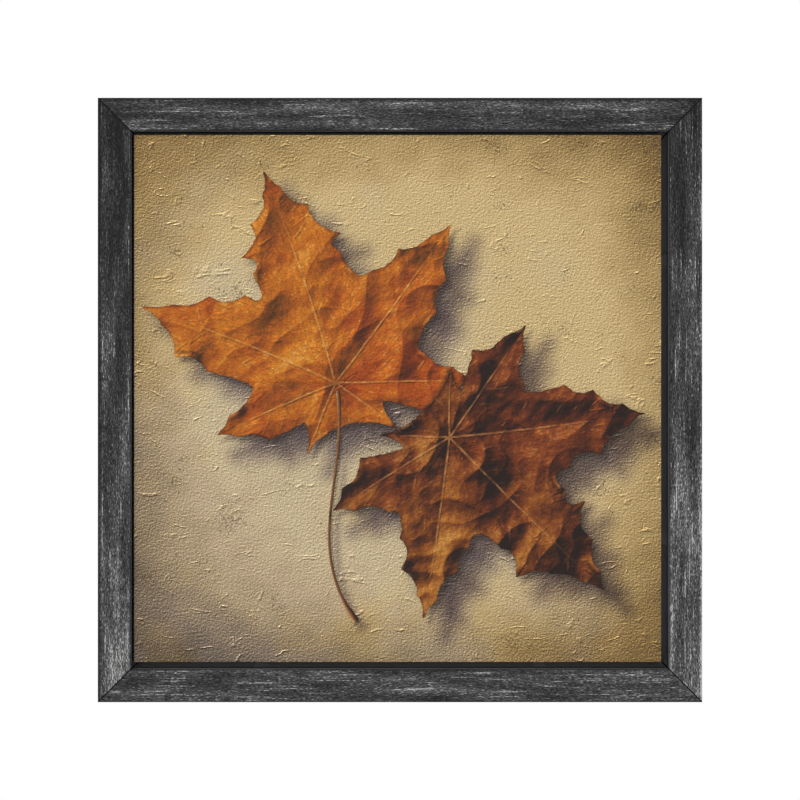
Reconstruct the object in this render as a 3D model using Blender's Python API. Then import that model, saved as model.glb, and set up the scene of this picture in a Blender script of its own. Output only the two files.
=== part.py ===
"""A square canvas picture floating in a mitred wooden frame, with its stretcher and its fixings.

Metres, +Z up. The picture faces -Y and hangs against a wall whose face is y = 0. The origin is
the middle notch of the sawtooth hanger, where the wall nail sits, so most of the picture hangs
below it. A side is modelled once, as the bottom one about the middle of the square, and is turned
about Y by quarter turns to make the other three.
"""

import math

import bmesh
import bpy
from mathutils import Matrix, Vector

INCH = 0.0254

# Driving sizes of the canvas and of the frame round it.
CANVAS_SIDE = 16 * INCH
CANVAS_DEPTH = 0.75 * INCH
FACE_WIDTH = 1.0 * INCH
FLOAT_GAP = 0.0042
CANVAS_SHIFT_X = -0.0018
CANVAS_SHIFT_Z = 0.0012

# The L of the moulding: a deep outer leg and a foot that reaches in behind the stretcher.
FRAME_DEPTH = 0.032
FOOT_THICKNESS = 0.008
FOOT_REACH = 0.022
ARRIS = 0.0008
ARRIS_STEPS = 3

# Neighbouring solids keep this gap.
CLEARANCE = 0.0003
MITRE_BACK_OFF = CLEARANCE / math.sqrt(2)

# The stretcher bar: a lip that carries the canvas, and a front that falls away behind it.
BAR_WIDTH = 0.036
BAR_LIP = 0.005
BAR_FALL = 0.003
CLOTH = 0.0006
FLAP_WIDTH = 0.030

# How the parts lie one behind the other, from the wall (y = 0) to the front.
WALL_GAP = 0.003
FRAME_BACK = -WALL_GAP
FRAME_FRONT = FRAME_BACK - FRAME_DEPTH
FLAP_BACK = FRAME_BACK - FOOT_THICKNESS - CLEARANCE
BAR_BACK = FLAP_BACK - CLOTH - CLEARANCE
CANVAS_FRONT = FLAP_BACK - CANVAS_DEPTH
BAR_FRONT = CANVAS_FRONT + CLOTH + CLEARANCE

OUTER_HALF = CANVAS_SIDE / 2 + FLOAT_GAP + FACE_WIDTH
CANVAS_HALF = CANVAS_SIDE / 2
BAR_HALF = CANVAS_HALF - CLOTH - CLEARANCE

# Sawtooth hanger: a steel strip, flat at its nailed ends and raised off the wood between them.
HANGER_DROP = 0.014
HANGER_HEIGHT = 0.0078
HANGER_HALF_LENGTH = 0.022
HANGER_RAISED_HALF = 0.010
HANGER_SLOPE = 0.004
HANGER_STEEL = 0.0008
TOOTH_PITCH = 0.002
TOOTH_DEPTH = 0.0012
HANGER_NAIL_X = 0.018
HANGER_NAIL_Z = 0.0036

# Countersunk screws, which hold the stretcher from behind through the foot.
SCREW_HEAD_RADIUS = 0.004
SCREW_SHANK_RADIUS = 0.002
SCREW_LENGTH = 0.020
SCREW_POINT = 0.003
SCREW_X = CANVAS_SIDE / 4
SCREW_INSET = FACE_WIDTH + 0.012
RECESS_SPAN = 0.0042
RECESS_SLOT = 0.0009
RECESS_DEPTH = 0.0014

# V-nails, pressed across the mitres from behind.
V_NAIL_LEG = 0.0065
V_NAIL_STEEL = 0.0007
V_NAIL_HEIGHT = 0.010
FRAME_V_NAIL_INSETS = {"outer": 0.007, "inner": 0.016}
STRETCHER_V_NAIL_INSET = 0.016

# Staples, which hold the canvas's turned-in edge to the back of the stretcher.
STAPLES_A_SIDE = 5
STAPLE_PITCH = 0.072
STAPLE_INSET = 0.024
STAPLE_CROWN = 0.010
STAPLE_WIRE = 0.0007
STAPLE_WIDTH = 0.0012
STAPLE_LEG = 0.006

NAIL_HEAD_RADIUS = 0.0015
NAIL_HEAD_THICKNESS = 0.0007
NAIL_RADIUS = 0.0006
NAIL_LENGTH = 0.010

BUMPER_RADIUS = 0.005
BUMPER_TOP_RADIUS = 0.0042
BUMPER_END_INSET = 0.036
BUMPER_EDGE_INSET = 0.012

TURNED_SEGMENTS = 16
QUARTER_TURN = math.pi / 2
SIDES = {"bottom": 0, "left": 1, "top": 2, "right": 3}
CORNERS = {"bottom_left": 0, "top_left": 1, "top_right": 2, "bottom_right": 3}

# Colours are linear RGB.
FINISHES = {
    "charcoal_wood": ((0.062, 0.062, 0.064), 0.62, 0.0),
    "pine": ((0.62, 0.44, 0.25), 0.68, 0.0),
    "canvas_cloth": ((0.52, 0.40, 0.23), 0.82, 0.0),
    "zinc_plated_steel": ((0.55, 0.56, 0.58), 0.36, 1.0),
    "black_rubber": ((0.02, 0.02, 0.02), 0.85, 0.0),
}


def clear_scene():
    """Removes every object that the scene starts with."""
    for old in list(bpy.data.objects):
        bpy.data.objects.remove(old)


def make_material(name, colour, roughness, metallic):
    """A Principled material of one colour."""
    material = bpy.data.materials.new(name)
    material.use_nodes = True
    shader = material.node_tree.nodes["Principled BSDF"]
    shader.inputs["Base Color"].default_value = (*colour, 1.0)
    shader.inputs["Roughness"].default_value = roughness
    shader.inputs["Metallic"].default_value = metallic
    return material


def make_empty(name, location):
    """A reference point that pieces are parented to."""
    empty = bpy.data.objects.new(name, None)
    empty.location = location
    bpy.context.scene.collection.objects.link(empty)
    return empty


def place(name, mesh, parent, quarter=0, material=None):
    """Puts a mesh in the scene about its parent, turned by quarter turns about Y."""
    piece = bpy.data.objects.new(name, mesh)
    piece.parent = parent
    piece.rotation_euler.y = quarter * QUARTER_TURN
    if material is not None and not mesh.materials:
        mesh.materials.append(material)
    bpy.context.scene.collection.objects.link(piece)
    return piece


def make_cutter(name, mesh, parent, quarter=0):
    """A helper that is only cut away from other pieces."""
    cutter = place(name, mesh, parent, quarter)
    cutter.hide_render = True
    cutter.display_type = "WIRE"
    return cutter


def cut_away(piece, cutters):
    """Takes each cutter out of the piece."""
    for cutter in cutters:
        cut = piece.modifiers.new("cut_" + cutter.name, "BOOLEAN")
        cut.operation = "DIFFERENCE"
        cut.object = cutter


def finished(name, shape):
    """Turns a bmesh into a mesh whose faces point outwards."""
    bmesh.ops.remove_doubles(shape, verts=shape.verts, dist=1e-7)
    bmesh.ops.recalc_face_normals(shape, faces=shape.faces)
    mesh = bpy.data.meshes.new(name)
    shape.to_mesh(mesh)
    shape.free()
    return mesh


def extrude_outline(shape, outline, offset):
    """Adds to the bmesh a closed prism: the outline's points, swept by offset."""
    face = shape.faces.new([shape.verts.new(point) for point in outline])
    swept = bmesh.ops.extrude_face_region(shape, geom=[face])["geom"]
    moved = [part for part in swept if isinstance(part, bmesh.types.BMVert)]
    bmesh.ops.translate(shape, verts=moved, vec=offset)
    return [*face.verts, *moved]


def prism(name, outline, offset):
    """A mesh of one closed prism."""
    shape = bmesh.new()
    extrude_outline(shape, outline, Vector(offset))
    return finished(name, shape)


def block(name, half_x, back, front, half_z):
    """A mesh of a square-cornered block about the middle, between two depths."""
    outline = [(x * half_x, back, z * half_z) for x, z in ((-1, -1), (1, -1), (1, 1), (-1, 1))]
    return prism(name, outline, (0, front - back, 0))


def turned(name, profile, smooth=True):
    """A mesh turned about the Y axis. The profile is (radius, y) pairs, from axis to axis."""
    shape = bmesh.new()
    rings = [shape.verts.new((radius, y, 0)) for radius, y in profile]
    edges = [shape.edges.new(pair) for pair in zip(rings, rings[1:])]
    bmesh.ops.spin(
        shape,
        geom=[*rings, *edges],
        cent=(0, 0, 0),
        axis=(0, 1, 0),
        angle=math.tau,
        steps=TURNED_SEGMENTS,
        use_merge=True,
    )
    mesh = finished(name, shape)
    if smooth:
        mesh.shade_smooth()
        mesh.set_sharp_from_angle(angle=math.radians(35))
    return mesh


def quarter_arc(centre, radius, start_degrees):
    """Points of a quarter circle, counter-clockwise from the start angle."""
    step = 90 / ARRIS_STEPS
    angles = [math.radians(start_degrees + step * i) for i in range(ARRIS_STEPS + 1)]
    return [(centre[0] + radius * math.cos(a), centre[1] + radius * math.sin(a)) for a in angles]


def mitred_side(name, profile, outer_half):
    """The bottom side of a square frame, with its ends cut at 45 degrees.

    The profile is (inset, y) pairs, where inset runs from the outer edge towards the middle.
    """
    shape = bmesh.new()
    ends = []
    for sign in (-1, 1):
        points = [
            (sign * (outer_half - inset - MITRE_BACK_OFF), y, inset - outer_half)
            for inset, y in profile
        ]
        ends.append([shape.verts.new(point) for point in points])
        shape.faces.new(ends[-1])
    count = len(profile)
    for i in range(count):
        j = (i + 1) % count
        shape.faces.new((ends[0][i], ends[0][j], ends[1][j], ends[1][i]))
    return finished(name, shape)


def rail_profile():
    """The moulding's L, with its two front edges slightly rounded."""
    front = FRAME_FRONT + ARRIS
    return [
        (0, FRAME_BACK),
        *quarter_arc((ARRIS, front), ARRIS, 180),
        *quarter_arc((FACE_WIDTH - ARRIS, front), ARRIS, 270),
        (FACE_WIDTH, FRAME_BACK - FOOT_THICKNESS),
        (FACE_WIDTH + FOOT_REACH, FRAME_BACK - FOOT_THICKNESS),
        (FACE_WIDTH + FOOT_REACH, FRAME_BACK),
    ]


def bar_profile():
    """The stretcher bar's section: the canvas touches only the lip at its outer edge."""
    return [
        (0, BAR_BACK),
        (0, BAR_FRONT),
        (BAR_LIP, BAR_FRONT),
        (BAR_WIDTH, BAR_FRONT + BAR_FALL),
        (BAR_WIDTH, BAR_BACK),
    ]


def screw_profile(grown=0.0):
    """Half the screw's section, from the middle of its head to its point."""
    head = FRAME_BACK - 0.0001 + grown
    neck = FRAME_BACK - SCREW_HEAD_RADIUS + SCREW_SHANK_RADIUS - grown
    point = FRAME_BACK - SCREW_LENGTH - grown
    shank = SCREW_SHANK_RADIUS + grown
    return [
        (0, head),
        (SCREW_HEAD_RADIUS + grown, head),
        (SCREW_HEAD_RADIUS + grown, FRAME_BACK - 0.0004),
        (shank, neck),
        (shank, point + SCREW_POINT),
        (0, point),
    ]


def nail_profile(grown=0.0):
    """Half the hanger nail's section: its head lies on the hanger's flat end."""
    top = FRAME_BACK + HANGER_STEEL + 2 * CLEARANCE + NAIL_HEAD_THICKNESS
    under = top - NAIL_HEAD_THICKNESS
    point = FRAME_BACK - NAIL_LENGTH - grown
    shank = NAIL_RADIUS + grown
    if grown:
        return [(0, top), (shank, top), (shank, point), (0, point)]
    return [
        (0, top),
        (NAIL_HEAD_RADIUS, top),
        (NAIL_HEAD_RADIUS, under),
        (shank, under),
        (shank, point + 2 * NAIL_RADIUS),
        (0, point),
    ]


def cross_outline(span, slot, y):
    """The twelve points of a cross recess, in the plane of a screw's head."""
    arm, half = span / 2, slot / 2
    quarter = [(half, arm), (half, half), (arm, half)]
    points = []
    for turn in range(4):
        turned_back = Matrix.Rotation(-turn * QUARTER_TURN, 2)
        points += [turned_back @ Vector(point) for point in quarter]
    return [(point.x, y, point.y) for point in points]


def screw_places():
    """Where the two screws of the bottom side enter, about the frame's middle."""
    return [(sign * SCREW_X, 0, SCREW_INSET - OUTER_HALF) for sign in (-1, 1)]


def v_outline(inset, outer_half, y, grown=0.0):
    """The V-nail's chevron at the bottom left mitre, with its point towards the corner."""
    corner = inset - outer_half
    half = V_NAIL_STEEL / 2 + grown
    tip = V_NAIL_LEG + grown
    points = [
        (-half, -half),
        (tip, -half),
        (tip, half),
        (half, half),
        (half, tip),
        (-half, tip),
    ]
    return [(corner + x, y, corner + z) for x, z in points]


def v_nail_mesh(name, inset, outer_half, back):
    """One V-nail at the bottom left mitre."""
    outline = v_outline(inset, outer_half, back - CLEARANCE)
    return prism(name, outline, (0, -V_NAIL_HEIGHT, 0))


def v_slots_mesh(name, insets, outer_half, back):
    """The slots that a side's V-nails need at both of its mitres."""
    shape = bmesh.new()
    depth = Vector((0, -V_NAIL_HEIGHT - 3 * CLEARANCE, 0))
    for inset in insets:
        left = v_outline(inset, outer_half, back + CLEARANCE, grown=CLEARANCE)
        extrude_outline(shape, left, depth)
        extrude_outline(shape, [(-x, y, z) for x, y, z in left], depth)
    return finished(name, shape)


def staple_outline(x, z, grown=0.0):
    """A staple's U, seen along the width of its wire: the crown behind, the legs forwards."""
    half = STAPLE_CROWN / 2 + grown
    inner = half - STAPLE_WIRE - 2 * grown
    back = FLAP_BACK + CLEARANCE + STAPLE_WIRE
    under = back - STAPLE_WIRE
    tips = under - STAPLE_LEG - grown
    points = [
        (-half, back),
        (half, back),
        (half, tips),
        (inner, tips),
        (inner, under),
        (-inner, under),
        (-inner, tips),
        (-half, tips),
    ]
    return [(x + dx, y, z) for dx, y in points]


def staple_places():
    """Where the bottom side's staples stand along it, about the canvas's middle."""
    first = -(STAPLES_A_SIDE - 1) / 2 * STAPLE_PITCH
    return [first + i * STAPLE_PITCH for i in range(STAPLES_A_SIDE)]


def staple_slots_mesh(name):
    """The slots for the legs of the bottom side's staples."""
    shape = bmesh.new()
    wide = STAPLE_WIRE + 2 * CLEARANCE
    deep = STAPLE_WIDTH + 2 * CLEARANCE
    low = STAPLE_INSET - CANVAS_HALF - deep / 2
    back = FLAP_BACK + 2 * CLEARANCE
    front = FLAP_BACK - STAPLE_LEG - CLEARANCE
    for x in staple_places():
        for side in (-1, 1):
            middle = x + side * (STAPLE_CROWN - STAPLE_WIRE) / 2
            left, right = middle - wide / 2, middle + wide / 2
            outline = [(left, back, low), (right, back, low), (right, front, low), (left, front, low)]
            extrude_outline(shape, outline, Vector((0, 0, deep)))
    return finished(name, shape)


def screw_holes_mesh(name):
    """The countersunk holes for the bottom side's two screws."""
    shape = bmesh.new()
    hole = turned(name + "_one", screw_profile(CLEARANCE), smooth=False)
    for x, _, z in screw_places():
        shape.from_mesh(hole)
        bmesh.ops.translate(shape, verts=shape.verts[-len(hole.vertices):], vec=(x, 0, z))
    return finished(name, shape)


def hanger_mesh(name):
    """The sawtooth strip, one column of points at each valley, tooth tip and bend."""
    flat_end = HANGER_RAISED_HALF + HANGER_SLOPE
    low = FRAME_BACK + CLEARANCE
    columns = [(-HANGER_HALF_LENGTH, 0, low), (-flat_end, 0, low)]
    half_pitches = round(2 * HANGER_RAISED_HALF / TOOTH_PITCH) * 2
    for i in range(half_pitches + 1):
        x = -HANGER_RAISED_HALF + i * TOOTH_PITCH / 2
        bottom = -TOOTH_DEPTH if i % 2 else 0
        columns.append((x, bottom, -HANGER_STEEL))
    columns += [(flat_end, 0, low), (HANGER_HALF_LENGTH, 0, low)]
    shape = bmesh.new()
    sheets = []
    for rise in (0, HANGER_STEEL):
        rows = [
            (shape.verts.new((x, y + rise, bottom)), shape.verts.new((x, y + rise, HANGER_HEIGHT)))
            for x, bottom, y in columns
        ]
        sheets.append(rows)
        for (a, b), (c, d) in zip(rows, rows[1:]):
            shape.faces.new((a, c, d, b))
    near, far = sheets
    for i in range(len(columns) - 1):
        for row in (0, 1):
            shape.faces.new((near[i][row], near[i + 1][row], far[i + 1][row], far[i][row]))
    for i in (0, -1):
        shape.faces.new((near[i][0], near[i][1], far[i][1], far[i][0]))
    return finished(name, shape)


def build_frame(centre, canvas_centre, materials):
    """The four mitred rails, their V-nails and the screws that hold the stretcher."""
    rail = mitred_side("rail", rail_profile(), OUTER_HALF)
    slots = v_slots_mesh("rail_slots", FRAME_V_NAIL_INSETS.values(), OUTER_HALF, FRAME_BACK)
    holes = screw_holes_mesh("screw_holes")
    rails, hole_cutters = {}, {}
    for side, quarter in SIDES.items():
        rails[side] = place("frame_rail_" + side, rail, centre, quarter, materials["charcoal_wood"])
        slot_cutter = make_cutter("rail_slots_" + side, slots, centre, quarter)
        hole_cutters[side] = make_cutter("screw_holes_" + side, holes, centre, quarter)
        cut_away(rails[side], [slot_cutter, hole_cutters[side]])
    for which, inset in FRAME_V_NAIL_INSETS.items():
        v_nail = v_nail_mesh("frame_v_nail_" + which, inset, OUTER_HALF, FRAME_BACK)
        for corner, quarter in CORNERS.items():
            name = f"frame_v_nail_{corner}_{which}"
            place(name, v_nail, centre, quarter, materials["zinc_plated_steel"])
    build_screws(centre, materials)
    build_stretcher(canvas_centre, hole_cutters, materials)
    return rails


def build_screws(centre, materials):
    """Two countersunk cross-head screws a side."""
    screw = turned("mounting_screw", screw_profile())
    recess = prism(
        "cross_recess",
        cross_outline(RECESS_SPAN, RECESS_SLOT, FRAME_BACK + CLEARANCE),
        (0, -RECESS_DEPTH - CLEARANCE, 0),
    )
    for side, quarter in SIDES.items():
        turn = Matrix.Rotation(quarter * QUARTER_TURN, 3, "Y")
        for number, spot in enumerate(screw_places(), start=1):
            location = turn @ Vector(spot)
            name = f"mounting_screw_{side}_{number}"
            piece = place(name, screw, centre, quarter, materials["zinc_plated_steel"])
            piece.location = location
            cutter = make_cutter("recess_" + name, recess, centre, quarter)
            cutter.location = location
            cut_away(piece, [cutter])


def build_stretcher(centre, screw_cutters, materials):
    """The four stretcher bars, the canvas over them and the staples behind."""
    bar = mitred_side("stretcher_bar", bar_profile(), BAR_HALF)
    v_slots = v_slots_mesh("bar_slots", [STRETCHER_V_NAIL_INSET], BAR_HALF, BAR_BACK)
    staple_slots = staple_slots_mesh("staple_slots")
    v_nail = v_nail_mesh("stretcher_v_nail", STRETCHER_V_NAIL_INSET, BAR_HALF, BAR_BACK)
    staple_cutters = {}
    for side, quarter in SIDES.items():
        piece = place("stretcher_bar_" + side, bar, centre, quarter, materials["pine"])
        v_cutter = make_cutter("bar_slots_" + side, v_slots, centre, quarter)
        staple_cutters[side] = make_cutter("staple_slots_" + side, staple_slots, centre, quarter)
        cut_away(piece, [v_cutter, staple_cutters[side], screw_cutters[side]])
    for corner, quarter in CORNERS.items():
        name = "stretcher_v_nail_" + corner
        place(name, v_nail, centre, quarter, materials["zinc_plated_steel"])
    build_canvas(centre, [*staple_cutters.values(), *screw_cutters.values()], materials)
    build_staples(centre, materials)


def build_canvas(centre, hole_cutters, materials):
    """The canvas: a front, four returns over the bars' edges and a flap turned in behind them."""
    outside = block("canvas", CANVAS_HALF, FLAP_BACK, CANVAS_FRONT, CANVAS_HALF)
    inside_half = CANVAS_HALF - CLOTH
    flap_half = CANVAS_HALF - FLAP_WIDTH
    inside = block("canvas_inside", inside_half, FLAP_BACK - CLOTH, CANVAS_FRONT + CLOTH, inside_half)
    past_back = FLAP_BACK + FOOT_THICKNESS
    opening = block("canvas_opening", flap_half, past_back, FLAP_BACK - 2 * CLOTH, flap_half)
    canvas = place("canvas", outside, centre, material=materials["canvas_cloth"])
    inside_cutter = make_cutter("canvas_inside", inside, centre)
    opening_cutter = make_cutter("canvas_opening", opening, centre)
    cut_away(canvas, [inside_cutter, opening_cutter, *hole_cutters])


def build_staples(centre, materials):
    """A row of staples behind each bar."""
    for number, x in enumerate(staple_places(), start=1):
        low = STAPLE_INSET - CANVAS_HALF - STAPLE_WIDTH / 2
        mesh = prism(f"canvas_staple_{number}", staple_outline(x, low), (0, 0, STAPLE_WIDTH))
        for side, quarter in SIDES.items():
            name = f"canvas_staple_{side}_{number}"
            place(name, mesh, centre, quarter, materials["zinc_plated_steel"])


def build_hanger(top_rail, materials):
    """The sawtooth hanger behind the top rail, and its two nails."""
    origin = make_empty("hanger_notch", (0, 0, 0))
    hanger = place("sawtooth_hanger", hanger_mesh("sawtooth_hanger"), origin)
    hanger.data.materials.append(materials["zinc_plated_steel"])
    nail = turned("hanger_nail", nail_profile())
    nail_hole = turned("nail_hole", nail_profile(CLEARANCE), smooth=False)
    for side, sign in (("left", -1), ("right", 1)):
        location = (sign * HANGER_NAIL_X, 0, HANGER_NAIL_Z)
        piece = place("hanger_nail_" + side, nail, origin, material=materials["zinc_plated_steel"])
        piece.location = location
        cutter = make_cutter("nail_hole_" + side, nail_hole, origin)
        cutter.location = location
        cut_away(hanger, [cutter])
        cut_away(top_rail, [cutter])


def build_bumpers(centre, materials):
    """Rubber feet behind the bottom rail's ends, which keep the picture parallel to the wall."""
    profile = [
        (0, FRAME_BACK + CLEARANCE),
        (BUMPER_RADIUS, FRAME_BACK + CLEARANCE),
        (BUMPER_RADIUS, FRAME_BACK / 2),
        (BUMPER_TOP_RADIUS, 0),
        (0, 0),
    ]
    bumper = turned("wall_bumper", profile)
    reach = OUTER_HALF - BUMPER_END_INSET
    for side, sign in (("left", -1), ("right", 1)):
        piece = place("wall_bumper_" + side, bumper, centre, material=materials["black_rubber"])
        piece.location = (sign * reach, 0, BUMPER_EDGE_INSET - OUTER_HALF)


def main():
    """Builds the picture hanging from its hanger's middle notch."""
    clear_scene()
    materials = {name: make_material(name, *values) for name, values in FINISHES.items()}
    middle_z = HANGER_DROP - OUTER_HALF
    frame_centre = make_empty("frame_centre", (0, 0, middle_z))
    canvas_centre = make_empty("canvas_centre", (CANVAS_SHIFT_X, 0, middle_z + CANVAS_SHIFT_Z))
    rails = build_frame(frame_centre, canvas_centre, materials)
    build_hanger(rails["top"], materials)
    build_bumpers(frame_centre, materials)


main()
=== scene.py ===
"""A framed canvas picture: two autumn maple leaves painted on a plastered ground.

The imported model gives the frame, the stretcher, the canvas and the fixings. This script dresses
them. It replaces the plain rails and the plain cloth with detailed ones, and lays the painting on
the cloth as thin coats of plaster and paint. Sizes are in metres, apart from the painting's own
plane, which is in millimetres about the middle of the canvas: u to the right and v up.
"""

from __future__ import annotations

import logging
import math
from dataclasses import dataclass, field
from enum import Enum
from functools import partial
from typing import Any, Callable, Sequence

import bpy
import numpy as np
from mathutils import Matrix, Vector

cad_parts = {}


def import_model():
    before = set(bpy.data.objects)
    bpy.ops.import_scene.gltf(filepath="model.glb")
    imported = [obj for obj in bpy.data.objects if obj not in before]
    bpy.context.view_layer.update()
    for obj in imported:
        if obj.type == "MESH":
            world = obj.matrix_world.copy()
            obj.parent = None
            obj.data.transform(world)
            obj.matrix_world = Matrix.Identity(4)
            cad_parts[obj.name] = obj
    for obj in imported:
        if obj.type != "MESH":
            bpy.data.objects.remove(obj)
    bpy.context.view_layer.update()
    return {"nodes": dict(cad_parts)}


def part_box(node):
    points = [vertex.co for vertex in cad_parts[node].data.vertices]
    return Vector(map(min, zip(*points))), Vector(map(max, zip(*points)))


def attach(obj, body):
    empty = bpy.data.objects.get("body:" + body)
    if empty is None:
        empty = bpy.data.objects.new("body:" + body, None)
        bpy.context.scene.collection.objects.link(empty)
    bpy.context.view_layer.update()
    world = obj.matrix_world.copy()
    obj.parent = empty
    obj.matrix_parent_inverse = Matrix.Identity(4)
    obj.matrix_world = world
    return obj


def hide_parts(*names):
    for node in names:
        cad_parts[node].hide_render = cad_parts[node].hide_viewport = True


LOG = logging.getLogger("picture")
MM = 0.001
Array = np.ndarray
Add = Callable[..., Any]
Piece = bpy.types.Object
Tree = bpy.types.NodeTree


# ------------------------------------------------------------------ colours and nodes


def srgb(code: str) -> Array:
    """Reads a hex colour as three sRGB numbers from 0 to 1."""
    return np.array([int(code[i : i + 2], 16) / 255 for i in (1, 3, 5)])


def to_linear(colour: Array) -> Array:
    """Turns sRGB values from 0 to 1 into linear ones."""
    colour = np.clip(colour, 0.0, 1.0)
    return np.where(colour <= 0.04045, colour / 12.92, ((colour + 0.055) / 1.055) ** 2.4)


def tint(code: str) -> tuple[float, ...]:
    """Gives the linear colour of an sRGB hex code, for a node's socket."""
    return (*(float(part) for part in to_linear(srgb(code))), 1.0)


def feed(tree: Tree, node: bpy.types.Node, inputs: dict[Any, Any]) -> None:
    """Sets a node's inputs.

    Args:
        tree: The node's tree.
        node: The node.
        inputs: Socket name or number to a value, or to an output that is linked to it.
    """
    for name, value in inputs.items():
        if isinstance(value, bpy.types.NodeSocket):
            tree.links.new(value, node.inputs[name])
        else:
            node.inputs[name].default_value = value


def add_node(
    tree: Tree,
    kind: str,
    inputs: dict[Any, Any],
    out: Any = 0,
    stops: Sequence = (),
    **settings: Any,
) -> Any:
    """Adds a node with its settings and links.

    Args:
        tree: The material's node tree.
        kind: The node type's identifier, without "ShaderNode".
        inputs: What feed() gives it.
        out: Name or number of the output that is wanted.
        stops: A Color Ramp's stops, as pairs of place and sRGB hex colour, in order.
        settings: The node's own properties.

    Returns:
        That output.
    """
    node = tree.nodes.new("ShaderNode" + kind)
    for name, value in settings.items():
        setattr(node, name, value)
    if stops:
        elements = node.color_ramp.elements
        while len(elements) < len(stops):
            elements.new(0.5)
        for element, (place, code) in zip(elements, stops):
            element.position = place
            element.color = tint(code)
    feed(tree, node, inputs)
    return node.outputs[out]


@dataclass(frozen=True)
class Finish:
    """What a surface is made of and how it was made."""

    name: str

    def build(self) -> bpy.types.Material:
        """Makes the material, whose Principled shader takes what the finish's own nodes give.

        Returns:
            The finished material.
        """
        material = bpy.data.materials.new(self.name)
        material.use_nodes = True
        tree = material.node_tree
        feed(tree, tree.nodes["Principled BSDF"], self.dress(partial(add_node, tree)))
        return material

    def dress(self, add: Add) -> dict[str, Any]:
        """Adds the finish's nodes, and gives the shader's inputs. Each kind has its own."""
        raise NotImplementedError


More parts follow.
